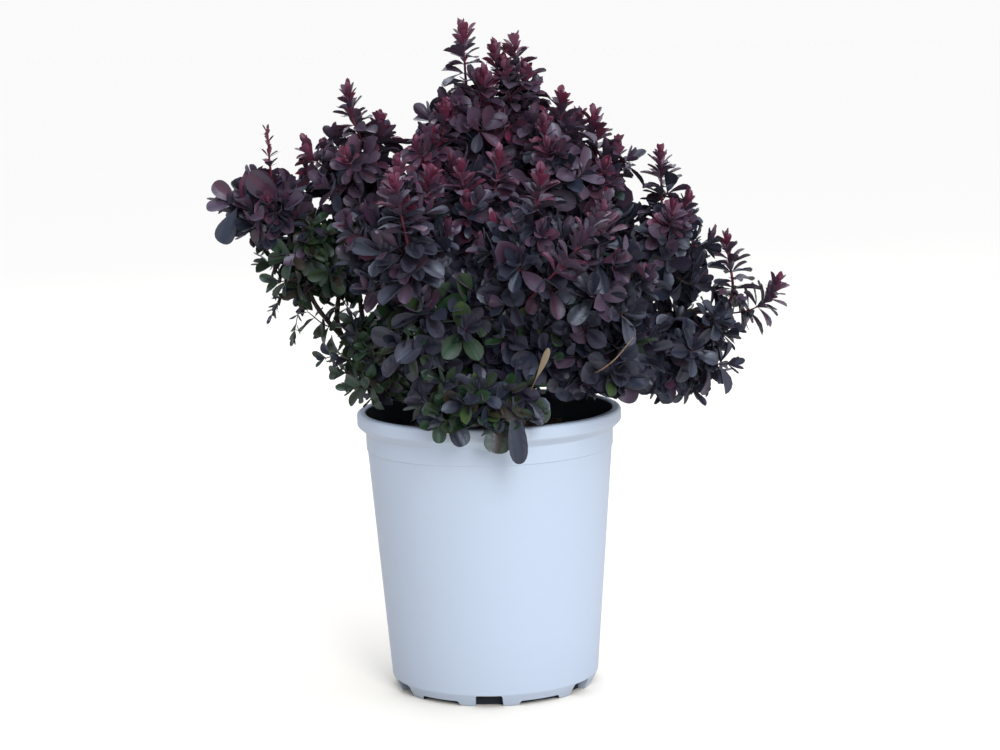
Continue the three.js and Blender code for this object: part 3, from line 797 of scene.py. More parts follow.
def joined(name, parts, materials, looks=None):
    """One piece from many (vertices, faces) parts. looks gives the material number of every face."""
    vertices, faces = [], []
    for part_vertices, part_faces in parts:
        start = len(vertices)
        vertices += part_vertices
        faces += [tuple(start + k for k in face) for face in part_faces]
    mesh = bpy.data.meshes.new(name)
    mesh.from_pydata(vertices, [], faces)
    if looks:
        mesh.polygons.foreach_set("material_index", [look for part in looks for look in part])
    mesh.shade_smooth()
    mesh.set_sharp_from_angle(angle=math.radians(60))
    return piece_of(name, mesh, materials)


def bark(name, dark, light, ridges):
    """Bark: long ridges along the stem and pale corky specks, by a noise drawn out along Z."""
    grain = {"Scale": 1, "Detail": 8}
    drawn_out = (ridges, ridges, ridges * 0.22)
    return two_browns(name, dark, light, (0.38, 0.72), grain, (0.6, 0.3 * MM), 0.78, drawn_out)


stem_bark = bark("stem_bark", (0.012, 0.007, 0.006), (0.062, 0.040, 0.030), 700)


def end_of_limb(owner, mass):
    """Where a mass's limb ends: out towards the crown, within the mass's own space."""
    inward = (CROWN_TOP - mass["heart"]).normalized()
    reach = min(mass["reach"]) * END_SHARE
    for step in range(16):
        place = mass["heart"] + inward * reach * (1 - 0.05 * step)
        if in_own_space(owner, place, END_CLEAR):
            return place
    return mass["heart"] + inward * LEAST_REACH


def bearing_of(name):
    """The compass bearing of a mass from the middle of the shrub."""
    return math.atan2(MASSES[name]["heart"].y, MASSES[name]["heart"].x)


limbs = {}
names = list(MASSES)
main_stems = [name for name in names if "source" not in MASSES[name]]
for inner, ring in ((True, INNER_RING), (False, OUTER_RING)):
    group = [name for name in main_stems if MASSES[name].get("inner", False) == inner]
    group.sort(key=bearing_of)
    for k, name in enumerate(group):
        mass = MASSES[name]
        bearing = bearing_of(group[0]) + k * 2 * math.pi / len(group)
        outward = Vector((math.cos(bearing), math.sin(bearing), 0))
        start = CROWN_TOP + outward * ring["radius"] - UP * ring["sunk"]
        rise = [] if mass["via"] else [start + outward * ring["out"] + UP * ring["up"]]
        curve = catmull_rom([start, *rise, *mass["via"], end_of_limb(names.index(name), mass)])
        limbs[name] = Wood(curve, STEM_BASE, STEM_TIP, LIMB_STEP)
for name in (name for name in names if name not in main_stems):
    mass = MASSES[name]
    stem = limbs[mass["source"]]
    start = stem.at(mass["at"])
    end = end_of_limb(names.index(name), mass)
    rise = [] if mass["via"] else [start.lerp(end, 0.3) + UP * LIMB_RISE]
    base = min(SIDE_BASE, stem.radius_at(mass["at"]) - 0.3 * MM)
    curve = catmull_rom([start, *rise, *mass["via"], end])
    limbs[name] = Wood(curve, base, min(SIDE_TIP, base - 0.3 * MM), LIMB_STEP)

limb_tubes = [tube(limb, LIMB_SIDES, BARK_RELIEF, BUD_SWELL) for limb in limbs.values()]
stems = joined("stems", limb_tubes, [stem_bark])
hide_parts(*("bough_" + name for name in names))
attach(stems, "root")

crown_outline = [(0, 0)]
for k in range(CROWN_RINGS + 1):
    share = k / CROWN_RINGS
    flare = (CROWN_FLARE - CROWN_WAIST) * (1 - share) ** 3
    crown_outline.append((between(CROWN_WAIST, CROWN_SHOULDER, share) + flare, share))
crown_outline += [(CROWN_SHOULDER * 0.55, 1.08), (0, 1.1)]
crown_solid = turned(crown_outline, CROWN_SIDES)
for corner in crown_solid.verts:
    share = corner.co.z
    bearing = math.atan2(corner.co.y, corner.co.x)
    outward = Vector((math.cos(bearing), math.sin(bearing), 0))
    radius = Vector(corner.co.xy).length
    if radius > 0:
        radius += CROWN_LOBE * max(0.0, 1 - share) ** 2 * math.cos(CROWN_LOBES * bearing)
    z = CROWN_TOP.z - CROWN_HEIGHT + (CROWN_HEIGHT - CROWN_SUNK) * share
    spot = outward * radius + UP * z
    knots = noise.fractal(spot * CROWN_KNOTS, 0.7, 2.2, 5)
    corner.co = outward * radius * (1 + CROWN_GNARL * knots) + UP * (z + CROWN_BUMPS * knots * share)
crown = piece_of("crown_wood", finished(crown_solid, "crown_wood"), [stem_bark])
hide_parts("root_crown")
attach(crown, "root")


# The shoots: red-brown twigs that fork on from each limb's end. Leading shoots run up to the tops, side
# shoots spread over the mass and turn up into risers of their own, and short spurs fork again from both. A
# lance leans out in front, and hangers and sprigs stray below. The year's wood is crimson.
LEADER_BASE = 2.0 * MM
LEADER_TIP = 0.7 * MM
LEADER_BEND = 0.4
SHOOT_BASE = 1.1 * MM
SHOOT_TIP = 0.55 * MM
SHOOT_FORK = 0.3
SHOOT_BOW = 0.3
LEANING = {
    "spire": (1.9 * MM, 0.7 * MM),
    "lance": (1.5 * MM, 0.6 * MM),
    "hanger": (0.8 * MM, 0.4 * MM),
    "sprig": (0.8 * MM, 0.45 * MM),
}
WITHOUT_SPURS = ("wisp", "lance", "hanger", "sprig")
SPUR_BASE = 0.7 * MM
SPUR_TIP = 0.45 * MM
SPUR_REACH = (7 * MM, 17 * MM)
SPUR_LOWEST = 0.16
SPUR_SPAN = 0.5
TWIG_SIDES = 6
TWIG_STEP = 4 * MM
TWIG_RELIEF = 0.08
SIDE_SHOOTS = 13
SIDE_UPTO = 0.75
SIDE_REACH = (0.95, 0.78, 0.6)
SIDE_LOWEST = 0.08
SIDE_RISE = 0.28
GAP_HALF = 60
GAP_FROM = -0.2
UPRIGHT_FROM = 0.05
TIP_BUD = 12 * MM
GOLDEN_ANGLE = math.pi * (3 - math.sqrt(5))
RIM_CLEAR = 0.6 * MM
OVER_SOIL = SOIL_TOP + 2 * MM
SHARED_SPACE = -2 * MM


def turned_about(direction, axis, angle):
    """A direction turned about an axis."""
    return Quaternion(axis, angle) @ direction


def in_pot(place):
    """Whether a place lies in the pot, its rim or its soil."""
    radius = math.hypot(place.x, place.y)
    if place.z < OVER_SOIL:
        return radius < RIM_RADIUS + RIM_CLEAR
    return place.z < POT_HEIGHT + RIM_CLEAR and RIM_INNER - 2 * MM < radius < RIM_RADIUS + RIM_CLEAR


def arc(start, leave, tip, arrive, pull=0.4):
    """A curve that leaves its start along one direction and comes to its tip along another."""
    reach = pull * (tip - start).length
    return bezier([start, start + leave.normalized() * reach, tip - arrive.normalized() * reach, tip])


def fits(owner, wood):
    """Whether a shoot keeps to its mass's own space and clear of the pot."""
    places = [wood.at(share) for share in (0.35, 0.7, 1.0)]
    return all(in_own_space(owner, place, SHARED_SPACE) and not in_pot(place) for place in places)


def leading_shoots(mass, limb):
    """The shoots that run on from a mass's limb to its tops, and those that lean, as (wood, habit)."""
    foot = limb.at(1)
    habits = mass.get("habits") or ["spire"] * len(mass["tops"]) or ["spray"]
    tops = [top - UP * TIP_BUD for top in mass["tops"]]
    if not tops:
        outward = (mass["heart"] - CROWN_TOP) * Vector((1, 1, 0))
        outward = (outward.normalized() + UP * 0.5).normalized()
        tops = [mass["heart"] + outward * mass["reach"] * 0.7]
    bend = LEADER_BEND * (tops[0] - foot).length
    arrive = tops[0].lerp(mass["heart"], 0.2) - UP * 0.6 * bend
    curve = bezier([foot, foot + limb.heading(1) * bend, arrive, tops[0]])
    leader = Wood(curve, min(limb.tip, LEADER_BASE), LEADER_TIP, TWIG_STEP)
    shoots = [(leader, habits[0])]
    fork = mass.get("fork", SHOOT_FORK)
    for tip, habit in zip(tops[1:], habits[1:]):
        start = leader.at(fork) if fork > 0 else limb.at(1 + fork)
        sag = UP * SHOOT_BOW * (tip - start).length
        curve = arc(start, tip - start - sag, tip, UP + (tip - start).normalized() * 0.4)
        shoots.append((Wood(curve, SHOOT_BASE, SHOOT_TIP, TWIG_STEP), habit))
    for habit, *places in mass.get("leaning", []):
        curve = catmull_rom([Vector(place) * MM for place in places])
        shoots.append((Wood(curve, *LEANING[habit], TWIG_STEP), habit))
    return shoots


def shoots_of(owner, mass, limb, draw):
    """The shoots of a mass as (wood, habit), by its solid's rule: leaders, side shoots, spurs on both."""
    shoots = leading_shoots(mass, limb)
    leader = shoots[0][0]
    first_turn = draw() * 2 * math.pi
    sides, upto = mass.get("sides", SIDE_SHOOTS), mass.get("upto", SIDE_UPTO)
    for k in range(sides):
        height = upto - (upto + 1) * (k + 0.5) / sides
        turn = first_turn + k * GOLDEN_ANGLE
        flat = math.sqrt(1 - height * height)
        level = Vector((math.cos(turn), math.sin(turn), 0))
        from_gap = math.degrees(turn) - mass.get("gap", 0)
        if "gap" in mass and height > GAP_FROM and abs((from_gap + 180) % 360 - 180) < GAP_HALF:
            continue
        outward = (level * flat + UP * height) * mass["reach"]
        size = 0.8 + 0.2 * draw()
        start = leader.at(SIDE_LOWEST + SIDE_RISE * (height + 1))
        upright = bool(mass["tips"]) and height > UPRIGHT_FROM
        lift = (0.7 if mass["tips"] else 0.3) + 0.5 * height
        settle = UP + level * 0.2 if upright else level + UP * lift
        for share in SIDE_REACH:
            tip = mass["heart"] + outward * size * share
            leave = (tip - start).normalized() + level * 0.5
            wood = Wood(arc(start, leave, tip, settle), SHOOT_BASE, SHOOT_TIP, TWIG_STEP)
            if fits(owner, wood):
                shoots.append((wood, "riser" if upright else "spray"))
                break
    for wood, habit in list(shoots):
        if habit in WITHOUT_SPURS:
            continue
        spurs = mass.get("spurs", 3 if wood is leader else 2)
        for k in range(spurs):
            at = SPUR_LOWEST + SPUR_SPAN * (k + draw()) / spurs
            axis = wood.heading(at)
            around = turned_about(axis.orthogonal().normalized(), axis, draw() * 2 * math.pi)
            outward = (axis * 0.5 + around + UP * 0.5).normalized()
            start = wood.at(at)
            tip = start + outward * between(*SPUR_REACH, draw())
            curve = arc(start, outward - UP * 0.2, tip, outward + UP * 0.4)
            spur = Wood(curve, SPUR_BASE, SPUR_TIP, TWIG_STEP)
            if fits(owner, spur):
                shoots.append((spur, "spur"))
    return shoots


old_twig = bark("old_twig", (0.030, 0.013, 0.012), (0.10, 0.05, 0.038), 1100)
red_twig = bark("red_twig", (0.085, 0.009, 0.022), (0.19, 0.024, 0.050), 1100)
RED_WOOD = dict(spire=0.12, lance=0.13, riser=0.03, wisp=0.06, hanger=0.0, sprig=0.0, spray=0.0, spur=0.0)


def twig_looks(wood, habit):
    """The material of each face of a shoot's tube: red over the last stretch, which grew this year."""
    rings = [int(wood.length * (1 - ring / wood.steps) < RED_WOOD[habit]) for ring in range(wood.steps)]
    return [look for look in rings for _ in range(TWIG_SIDES)] + [rings[0], rings[-1]]


# The leaves: spoon-shaped blades with a plain edge, narrow at the root and broadest past the middle, folded
# a little along the rib. They are waxy, so that light glances off them pale and bluish. The newest, at the
# tips, are small and crimson; older ones turn wine, then purple near to black; those grown in shade are green
# or bronze. Each tint has its colour and the tint of the leaf's underside.
LEAF_THICKNESS = 0.42 * MM
LEAF_SINK = 0.4 * MM
LEAF_TINTS = {
    "crimson": ((0.140, 0.022, 0.050), "crimson"),
    "rose": ((0.170, 0.052, 0.092), "rose"),
    "wine": ((0.088, 0.024, 0.048), "wine"),
    "claret": ((0.080, 0.027, 0.050), "mauve_back"),
    "plum": ((0.057, 0.028, 0.054), "mauve_back"),
    # mauve: a pale purple leaf tone that is partly painted highlight, standing in for the lavender light that
    # glances off the wax.
    "mauve": ((0.084, 0.049, 0.081), "mauve_back"),
    "aubergine": ((0.020, 0.014, 0.027), "grey_back"),
    "ink": ((0.012, 0.013, 0.023), "grey_back"),
    "slate": ((0.019, 0.023, 0.040), "grey_back"),
    "bronze": ((0.034, 0.024, 0.013), "green_back"),
    "moss": ((0.022, 0.036, 0.012), "green_back"),
    "green": ((0.016, 0.047, 0.014), "green_back"),
    "deep_green": ((0.007, 0.022, 0.011), "green_back"),
    "lime": ((0.046, 0.078, 0.018), "green_back"),
    "mauve_back": ((0.060, 0.038, 0.060), "mauve_back"),
    "grey_back": ((0.034, 0.034, 0.050), "grey_back"),
    "green_back": ((0.036, 0.056, 0.030), "green_back"),
    "dry": ((0.20, 0.145, 0.08), "dry"),
}
TINT_NUMBER = {name: number for number, name in enumerate(LEAF_TINTS)}


def waxy_group():
    """The wax on a leaf, thicker in some places, so that gloss and surface change from spot to spot."""
    group, given = node_group(
        "leaf_wax",
        {"Spot Size": "Float", "Thin Wax": "Float", "Thick Wax": "Float"},
        {"Roughness": "Float", "Height": "Float"},
    )
    place = node(group, "TexCoord", {})["Object"]
    spots = node(group, "TexNoise", {"Vector": place, "Scale": given["Spot Size"], "Detail": 3})["Fac"]
    gloss = node(group, "MapRange", {
        "Value": spots,
        "From Min": 0.3,
        "From Max": 0.7,
        "To Min": given["Thin Wax"],
        "To Max": given["Thick Wax"],
    })
    feed(group, group.nodes.new("NodeGroupOutput"), {"Roughness": gloss["Result"], "Height": spots})
    return group


leaf_wax = waxy_group()


def leaf_material(name, colour):
    """The skin of a leaf in one tint under its wax, with a faint bluish bloom."""
    material, tree, principled = shader("leaf_" + name)
    wax = node(tree, "Group", {"Spot Size": 240, "Thin Wax": 0.30, "Thick Wax": 0.46}, node_tree=leaf_wax)
    feed(tree, principled, {
        "Base Color": (*colour, 1),
        "Roughness": wax["Roughness"],
        "Specular IOR Level": 0.62,
        "Specular Tint": (0.80, 0.86, 1.0, 1),
        "Sheen Weight": 0.1,
        "Sheen Roughness": 0.45,
        "Sheen Tint": (0.72, 0.74, 1.0, 1),
        "Normal": bump(tree, wax["Height"], 0.25, 0.4 * MM),
    })
    return material


leaf_looks = [leaf_material(name, colour) for name, (colour, _) in LEAF_TINTS.items()]


class LeafForm:
    """The grid that a leaf is drawn on: stations from root to tip, their widths, and columns across."""

    UPPER, UNDER, STALK = range(3)

    def __init__(self, stations, widths, columns):
        self.stations = np.array(stations)
        self.widths = np.array(widths)
        self.columns = np.array(columns)
        self.faces, self.sides = [], []
        self.blades, self.tints = [], []
        across = len(columns)
        rows = len(stations) - 1
        tip = rows * across
        upper = [[row * across + k for k in range(across)] for row in range(rows)]
        under = [[upper[row][0], tip + 1 + row, upper[row][-1]] for row in range(rows)]
        for row in range(rows - 1):
            for k in range(across - 1):
                self.face(upper[row][k], upper[row][k + 1], upper[row + 1][k + 1], upper[row + 1][k],
                          side=self.UPPER if row else self.STALK)
            for k in range(2):
                self.face(under[row][k], under[row + 1][k], under[row + 1][k + 1], under[row][k + 1],
                          side=self.UNDER if row else self.STALK)
        for k in range(across - 1):
            self.face(upper[-1][k], upper[-1][k + 1], tip, side=self.UPPER)
        for k in range(2):
            self.face(under[-1][k], tip, under[-1][k + 1], side=self.UNDER)
        self.face(*under[0], *upper[0][-2:0:-1], side=self.STALK)

    def face(self, *corners, side):
        """One face of the grid, on the leaf's upper side, underside or stalk."""
        self.faces.append(corners)
        self.sides.append(side)

    def add(self, root, along, facing, length, width, bend, cup, fold, sway, top, stalk):
        """One leaf from its root: it bends down by the angle bend, and its edges lift by cup and fold."""
        along = along.normalized()
        across = facing.cross(along).normalized()
        normal = along.cross(across)
        angles = bend * self.stations**1.4
        steps = np.diff(self.stations) * length
        middle = (angles[:-1] + angles[1:]) / 2
        forward = np.concatenate([[0], np.cumsum(steps * np.cos(middle))])
        down = np.concatenate([[0], np.cumsum(steps * np.sin(middle))])
        half = self.widths * width / 2
        edge = np.abs(self.columns)[None, :]
        wave = sway * self.columns[None, :] * np.sin(self.stations * 5)[:, None]
        lift = half[:, None] * (cup * edge**2 + fold * edge + wave)
        u = forward[:, None] + lift * np.sin(angles)[:, None]
        v = half[:, None] * self.columns[None, :]
        w = lift * np.cos(angles)[:, None] - down[:, None]
        upper = np.stack([u, v, w], axis=2)
        rib = upper[:, len(self.columns) // 2]
        under = rib.copy()
        under[:, 2] -= LEAF_THICKNESS * np.minimum(1, self.widths + 0.25)
        places = np.concatenate([upper[:-1].reshape(-1, 3), rib[-1:], under[:-1]])
        self.blades.append(places @ np.array([along, across, normal]) + np.array(root))
        self.tints.append((TINT_NUMBER[top], TINT_NUMBER[LEAF_TINTS[top][1]], TINT_NUMBER[stalk]))

    def gathered(self):
        """The leaves so far as arrays of places, corners, corners per face and materials. Starts afresh."""
        size = len(self.blades[0])
        corners = np.array([corner for face in self.faces for corner in face])
        loops = (corners[None, :] + size * np.arange(len(self.blades))[:, None]).ravel()
        totals = np.tile([len(face) for face in self.faces], len(self.blades))
        looks = np.array(self.tints)[:, np.array(self.sides)].ravel()
        places = np.concatenate(self.blades)
        self.blades, self.tints = [], []
        return places, loops, totals, looks


broad_leaf = LeafForm(
    (0.0, 0.12, 0.32, 0.54, 0.74, 0.89, 0.97, 1.0),
    (0.07, 0.13, 0.55, 0.90, 1.0, 0.79, 0.43, 0.0),
    (-1.0, -0.5, 0.0, 0.5, 1.0),
)
small_leaf = LeafForm(
    (0.0, 0.14, 0.42, 0.68, 0.90, 1.0),
    (0.08, 0.16, 0.74, 1.0, 0.68, 0.0),
    (-1.0, 0.0, 1.0),
)
large_leaf = LeafForm(
    (0.0, 0.08, 0.18, 0.32, 0.46, 0.60, 0.73, 0.84, 0.92, 0.97, 0.992, 1.0),
    (0.07, 0.10, 0.28, 0.56, 0.80, 0.96, 1.0, 0.93, 0.75, 0.50, 0.26, 0.0),
    (-1.0, -0.7, -0.35, 0.0, 0.35, 0.7, 1.0),
)


def leafage(name):
    """One piece of all the leaves gathered so far."""
    places, loops, totals, looks = [], [], [], []
    start = 0
    for form in (broad_leaf, small_leaf, large_leaf):
        if not form.blades:
            continue
        form_places, form_loops, form_totals, form_looks = form.gathered()
        places.append(form_places)
        loops.append(form_loops + start)
        totals.append(form_totals)
        looks.append(form_looks)
        start += len(form_places)
    totals = np.concatenate(totals)
    loops = np.concatenate(loops)
    mesh = bpy.data.meshes.new(name)
    mesh.vertices.add(start)
    mesh.vertices.foreach_set("co", np.concatenate(places).astype(np.float32).ravel())
    mesh.loops.add(len(loops))
    mesh.loops.foreach_set("vertex_index", loops.astype(np.int32))
    mesh.polygons.add(len(totals))
    loop_starts = np.concatenate([[0], np.cumsum(totals)[:-1]])
    mesh.polygons.foreach_set("loop_start", loop_starts.astype(np.int32))
    mesh.polygons.foreach_set("material_index", np.concatenate(looks).astype(np.int32))
    mesh.update(calc_edges=True)
    mesh.shade_smooth()
    mesh.set_sharp_from_angle(angle=math.radians(70))
    return piece_of(name, mesh, leaf_looks)


# How the leaves sit on each habit of shoot, with lengths in millimetres. bare: the share of the wood
# without leaves; close and wide: the spacing of their whorls at the tip and further down; small and full:
# their length at the tip and when grown, which they are at the distance grown from the tip; shut and open:
# their angle off the wood; slim and broad: their width as a share of the length; out: how far they turn to
# the light; hang: how far they droop; whorl: how many stand together; crimson and wine: how ripe a leaf is
# when it loses those colours; lag: how much riper it looks low down on the shrub.
HABITS = {
    "spire": dict(bare=0.2, close=4.5, wide=7.6, small=15, full=29, grown=34, shut=20, open=82, slim=0.43,
                  broad=0.48, out=0.2, hang=0.0, whorl=6, crimson=0.34, wine=0.8, lag=0.3),
    "riser": dict(bare=0.2, close=4.5, wide=8.6, small=15, full=29, grown=34, shut=22, open=84, slim=0.43,
                  broad=0.48, out=0.25, hang=0.05, whorl=6, crimson=0.20, wine=0.5, lag=0.7),
    "spray": dict(bare=0.30, close=8.0, wide=12, small=24, full=37, grown=20, shut=34, open=86, slim=0.42,
                  broad=0.52, out=0.5, hang=0.3, whorl=5, crimson=0, wine=0),
    "spur": dict(bare=0.5, close=4.0, wide=6.0, small=22, full=35, grown=6, shut=38, open=80, slim=0.44,
                 broad=0.54, out=0.3, hang=0.15, whorl=5, crimson=0, wine=0),
    "wisp": dict(bare=0.3, close=6.0, wide=10, small=10, full=15, grown=40, shut=25, open=60, slim=0.42,
                 broad=0.46, out=0.0, hang=0.0, whorl=3, crimson=0.5, wine=1),
    "lance": dict(bare=0.48, close=5.0, wide=8.0, small=15, full=23, grown=60, shut=18, open=56, slim=0.42,
                  broad=0.48, out=0.1, hang=0.0, whorl=5),
    "hanger": dict(bare=0.3, close=6.0, wide=9.0, small=12, full=16, grown=40, shut=20, open=50, slim=0.34,
                   broad=0.42, out=0.0, hang=0.3, whorl=3, crimson=0, wine=0),
    "sprig": dict(bare=0.1, close=7.0, wide=9.0, small=18, full=26, grown=12, shut=45, open=82, slim=0.52,
                  broad=0.64, out=0.4, hang=0.15, whorl=3, crimson=0, wine=0),
}
STANDS_OUT = ("lance", "hanger", "sprig")
SHADE_TINTS = ("green", "moss", "green", "moss", "bronze", "lime", "green")
INNER_TINTS = ("deep_green", "green", "deep_green", "ink")
# The lance and young tints draw mauve, a leaf tone that is partly painted highlight, twice each.
LANCE_TINTS = ("rose", "mauve", "claret", "mauve")
NEWEST_TINTS = ("crimson", "rose", "crimson", "wine")
NEW_TINTS = ("wine", "claret", "crimson", "claret", "plum")
YOUNG_TINTS = ("plum", "claret", "mauve", "claret", "mauve")
OLD_TINTS = ("aubergine", "slate", "ink", "slate", "aubergine", "ink")
MIDDLE = Vector((0, 0, 320)) * MM
LOW, HIGH = 300 * MM, 480 * MM
LOW_LEAF, HIGH_LEAF = 1.08, 0.80
SMALL_UNDER = 16 * MM
HIDDEN_UNDER = 0.5
ROUND_LEAVES = 0.06
ROUND_WIDTH = 1.5
SPREAD_DRAW = 34
BEND_SHUT, BEND_OPEN, BEND_DRAW = -20, 14, 34
WHORL_TURN = 0.9
ROOT_DRAW = 2.4
SHARED_LEAF_SPACE = -7 * MM
LEAF_TRIES = ((0, 1), (0.5, 1), (-0.5, 1), (0, 0.7))
LEAST_YOUNG, YOUNG_RISE = 0.05, 0.93
INNER_SHADE = 0.4
LENGTH_LEAST, LENGTH_DRAW = 0.72, 0.46
WIDTH_LEAST, WIDTH_DRAW = 0.86, 0.28
CUP_LEAST, CUP_DRAW = 0.08, 0.3
FOLD_LEAST, FOLD_DRAW = 0.08, 0.24
SWAY_DRAW = 0.3
TURN_DRAW = 0.5
FACING_DRAW = 0.7
VISUAL_MARGIN = 7 * MM
SPINE_SHARE = 0.5
SPINE_LENGTH = (6 * MM, 13 * MM)
FIRST_SEED = 101
SEED_STEP = 37
spines = []
low_corner = Vector(cad_box[0]) - Vector((1, 1, 0)) * VISUAL_MARGIN
high_corner = Vector(cad_box[1]) + Vector((1, 1, 0)) * VISUAL_MARGIN + UP * 2 * MM
for way in HABITS.values():
    for length in ("close", "wide", "small", "full", "grown"):
        way[length] *= MM


def in_box(place):
    """Whether a place lies within the room that the leaves may take up."""
    return all(low < value < high for low, value, high in zip(low_corner, place, high_corner))


def leaf_tint(habit, ripe, young, shaded, chance):
    """The tint of a leaf by its shoot's habit, how ripe and how young it is, its shade, and chance."""
    if shaded:
        tints = SHADE_TINTS if shaded == "outer" else INNER_TINTS
    elif habit == "lance":
        tints = LANCE_TINTS
    elif ripe < HABITS[habit]["crimson"]:
        tints = NEWEST_TINTS
    elif ripe < HABITS[habit]["wine"]:
        tints = NEW_TINTS
    elif chance < young:
        tints = YOUNG_TINTS
        chance = chance / young
    else:
        tints = OLD_TINTS
        chance = (chance - young) / (1 - young)
    return tints[int(chance * (len(tints) - 0.01))]


def add_leaves(owner, mass, wood, habit, draw):
    """Whorls of leaves round a shoot, from its shut tip down to where they stand open and full."""
    way = HABITS[habit]
    side = wood.heading(1).orthogonal().normalized()
    turn = draw() * 2 * math.pi
    below = 0.0
    while below < wood.length * (1 - way["bare"]):
        at = 1 - below / wood.length
        ripe = min(1.0, below / way["grown"])
        node_place = wood.at(at)
        axis = wood.heading(at)
        side = (side - axis * side.dot(axis)).normalized()
        up_the_shrub = min(1.0, max(0.0, (node_place.z - LOW) / (HIGH - LOW)))
        scale = mass.get("leaf", 1.0) * between(LOW_LEAF, HIGH_LEAF, up_the_shrub)
        # Young leaves grow commoner up the shrub, and with them the mauve that is partly painted highlight,
        # so the top reads lighter.
        young = max(mass.get("young", 0), LEAST_YOUNG + YOUNG_RISE * up_the_shrub**1.5)
        depth = ((node_place - mass["heart"]) / max(mass["reach"])).length
        inner_shade = INNER_SHADE * max(0.0, 1 - 2 * depth) * (1 - up_the_shrub)
        outward = ((node_place - MIDDLE) * Vector((1, 1, 0.5))).normalized() + UP * 0.6
        leaves_here = way["whorl"] - int(draw() * 2)
        for k in range(leaves_here):
            spread = between(way["shut"], way["open"], ripe**0.7)
            spread = math.radians(spread + SPREAD_DRAW * (draw() - 0.5))
            length = between(way["small"], way["full"], ripe**0.8) * scale
            length *= LENGTH_LEAST + LENGTH_DRAW * draw()
            width = length * between(way["slim"], way["broad"], ripe) * (WIDTH_LEAST + WIDTH_DRAW * draw())
            width *= ROUND_WIDTH if draw() < ROUND_LEAVES else 1
            lean = turn + (k + TURN_DRAW * (draw() - 0.5)) * 2 * math.pi / leaves_here
            jitter = Vector((draw() - 0.5, draw() - 0.5, draw() - 0.5)) * FACING_DRAW
            bend = math.radians(BEND_SHUT + (BEND_OPEN - BEND_SHUT + BEND_DRAW * draw()) * ripe**0.5)
            cup = CUP_LEAST + CUP_DRAW * draw()
            fold = FOLD_LEAST + FOLD_DRAW * draw()
            sway = SWAY_DRAW * (draw() - 0.5)
            chance = draw()
            shaded = "outer" if draw() < mass.get("shade", 0.0) else "inner" if draw() < inner_shade else ""
            tint = leaf_tint(habit, ripe + way.get("lag", 0) * (1 - up_the_shrub), young, shaded, chance)
            for aside, smaller in LEAF_TRIES:
                around = turned_about(side, axis, lean + aside)
                along = axis * math.cos(spread) + around * math.sin(spread) - UP * way["hang"] * ripe
                along.normalize()
                inner = axis * math.sin(spread) - around * math.cos(spread)
                facing = inner + outward * way["out"] + jitter * (0.4 + 0.8 * ripe)
                root = node_place - along * LEAF_SINK + axis * (draw() - 0.5) * ROOT_DRAW * MM
                tip = root + along * length * smaller
                middle = root.lerp(tip, 0.6)
                if in_pot(tip) or in_pot(middle) or not in_box(tip) or tip.z < mass.get("low", 0) * MM:
                    continue
                if habit in STANDS_OUT or in_own_space(owner, tip, SHARED_LEAF_SPACE):
                    coarse = length * smaller < SMALL_UNDER or depth < HIDDEN_UNDER
                    form = small_leaf if coarse else broad_leaf
                    form.add(root, along, facing, length * smaller, width * smaller,
                             bend, cup, fold, sway, tint, "green" if shaded else "wine")
                    break
        spine = turned_about(side, axis, turn + 0.5) + axis * 0.5 * draw()
        spine = spine.normalized() * between(*SPINE_LENGTH, draw())
        if draw() < SPINE_SHARE and in_box(node_place + spine) and not in_pot(node_place + spine):
            spines.append((node_place, node_place + spine))
        below += between(way["close"], way["wide"], ripe)
        turn += WHORL_TURN


REGIONS = {
    "top": ["top_left", "top_right", "left_shoulder"],
    "right_shoulder": ["right_shoulder", "right_wing"],
    "left": ["left_hill", "left_tip", "left_skirt", "left_low"],
    "front": ["centre", "front_left", "front_middle", "front_right"],
    "low": ["low_right", "low_middle", "low_left", "front_low"],
    "right": ["right_hill", "right_tip", "right_low", "right_side"],
    "back": ["back_left", "back_middle", "back_right"],
    "back_low": ["back_low_left", "back_low_middle", "back_low_right"],
}
for region, members in REGIONS.items():
    tubes, looks = [], []
    for name in members:
        owner = names.index(name)
        draw = drawer(FIRST_SEED + SEED_STEP * owner)
        for wood, habit in shoots_of(owner, MASSES[name], limbs[name], draw):
            tubes.append(tube(wood, TWIG_SIDES, TWIG_RELIEF))
            looks.append(twig_looks(wood, habit))
            add_leaves(owner, MASSES[name], wood, habit, draw)
    leaves = leafage("leaves_" + region)
    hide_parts(*("mass_" + name for name in members))
    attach(leaves, "root")
    twigs = joined("twigs_" + region, tubes, [old_twig, red_twig], looks)
    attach(twigs, "root")


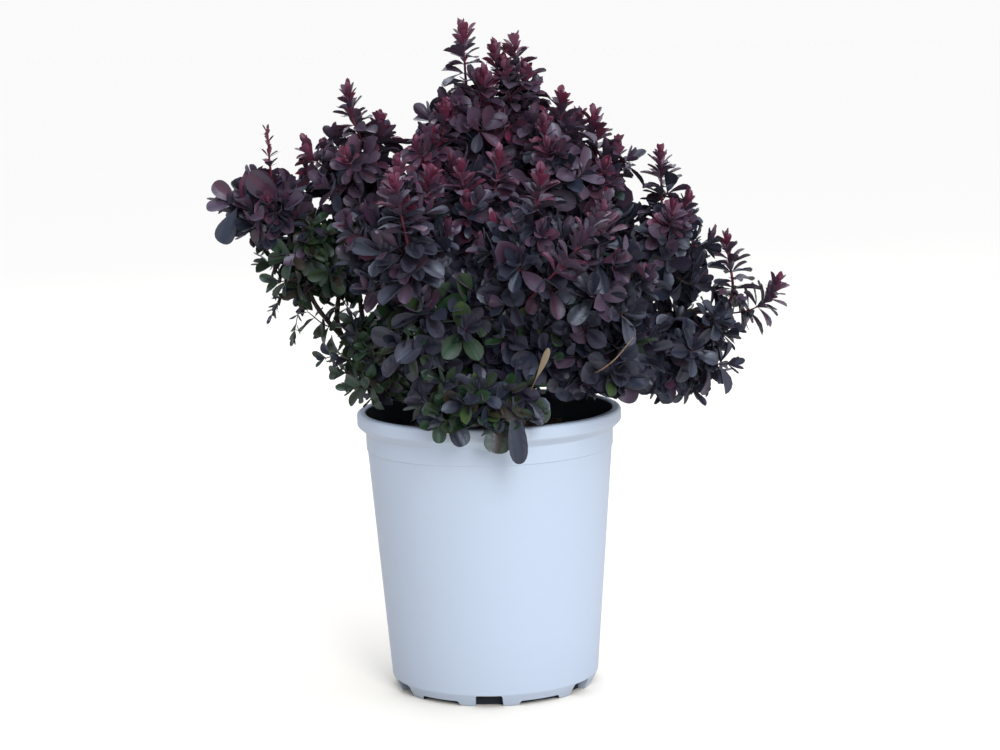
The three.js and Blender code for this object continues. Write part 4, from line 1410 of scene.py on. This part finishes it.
# Single leaves that catch the eye: six round the left end, five that hang over the rim, a mauve one at the
# right and a withered one. Each has its root, the way it points and faces, its length and width in
# millimetres, its bend in degrees and its tint.
STRAYS = [
    ((-168, -34, 433), (-27, -2, 20), (-0.5, -1, -0.1), 41, 24, 14, "claret"),
    ((-211, -24, 433), (-19, -6, 18), (-0.3, -1, 0.3), 27, 15, 10, "claret"),
    ((-212, -24, 432), (-23, -6, -1), (-0.1, -0.8, 0.8), 26, 13, 10, "plum"),
    ((-209, -26, 434), (12, -6, 23), (0.3, -1, 0.2), 27, 15, 10, "wine"),
    ((-211, -28, 430), (-14, -6, -30), (-0.3, -1, 0.3), 34, 19, 10, "slate"),
    ((-163, -34, 427), (-22, -6, -16), (-0.1, -0.9, 0.6), 27, 15, 10, "slate"),
    ((20, -142, 277), (4, -4, -50), (0.05, -1, 0.15), 56, 16, 8, "slate"),
    ((12, -126, 260), (-6, -8, -24), (-0.1, -1, 0.3), 33, 23, 10, "bronze"),
    ((29, -126, 278), (15, -8, -26), (0.2, -1, 0.3), 31, 11, 12, "ink"),
    ((-40, -124, 263), (-2, -8, -24), (0.1, -1, 0.3), 26, 12, 12, "green"),
    ((-33, -124, 262), (10, -8, -22), (0.2, -1, 0.3), 30, 17, 12, "slate"),
    ((124, -104, 292), (-10, -6, -24), (-0.2, -1, 0.2), 30, 19, 10, "mauve"),
    ((38, -141, 289), (13, -2, 27), (0.5, -1, 0.1), 30, 6, 14, "dry"),
]
STRAY_CUP_FOLD_SWAY = (0.12, 0.14, 0.1)
for root, along, facing, length, width, bend, tint in STRAYS:
    large_leaf.add(Vector(root) * MM, Vector(along), Vector(facing), length * MM, width * MM,
                   math.radians(bend), *STRAY_CUP_FOLD_SWAY, tint, tint)
strays = leafage("stray_leaves")
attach(strays, "root")


# The spines: thin, straight and sharp, of the same wood as the old twigs. One stands out from about every
# other node, among the leaves.
SPINE_RADIUS = 0.35 * MM

spike_places, spike_faces = [], []
for foot, point in spines:
    axis = (point - foot).normalized()
    side = axis.orthogonal().normalized() * SPINE_RADIUS
    first = len(spike_places)
    spike_places += [foot + turned_about(side, axis, k * 2 * math.pi / 3) for k in range(3)] + [point]
    spike_faces += [(first, first + 1, first + 3), (first + 1, first + 2, first + 3)]
    spike_faces += [(first + 2, first, first + 3), (first + 2, first + 1, first)]
spikes = joined("spines", [(spike_places, spike_faces)], [old_twig])
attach(spikes, "root")


# The dead twigs: two bleached, bare ends of old wood that come out of the foliage low in front. The
# withered leaf is left on one of them.
DEAD_TWIGS = [
    ((84, -106, 290), (92, -140, 297), (104, -147, 307), (119, -145, 324)),
    ((28, -108, 274), (34, -130, 279), (38, -141, 289)),
]
DEAD_BASE = 0.8 * MM
DEAD_TIP = 0.4 * MM
DEAD_STEP = 2 * MM

dead_wood = bark("dead_wood", (0.16, 0.085, 0.045), (0.36, 0.24, 0.15), 1100)
dead_tubes = []
for places in DEAD_TWIGS:
    curve = catmull_rom([Vector(place) * MM for place in places])
    dead_tubes.append(tube(Wood(curve, DEAD_BASE, DEAD_TIP, DEAD_STEP), TWIG_SIDES, TWIG_RELIEF))
dead_twig = joined("dead_twig", dead_tubes, [dead_wood])
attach(dead_twig, "root")
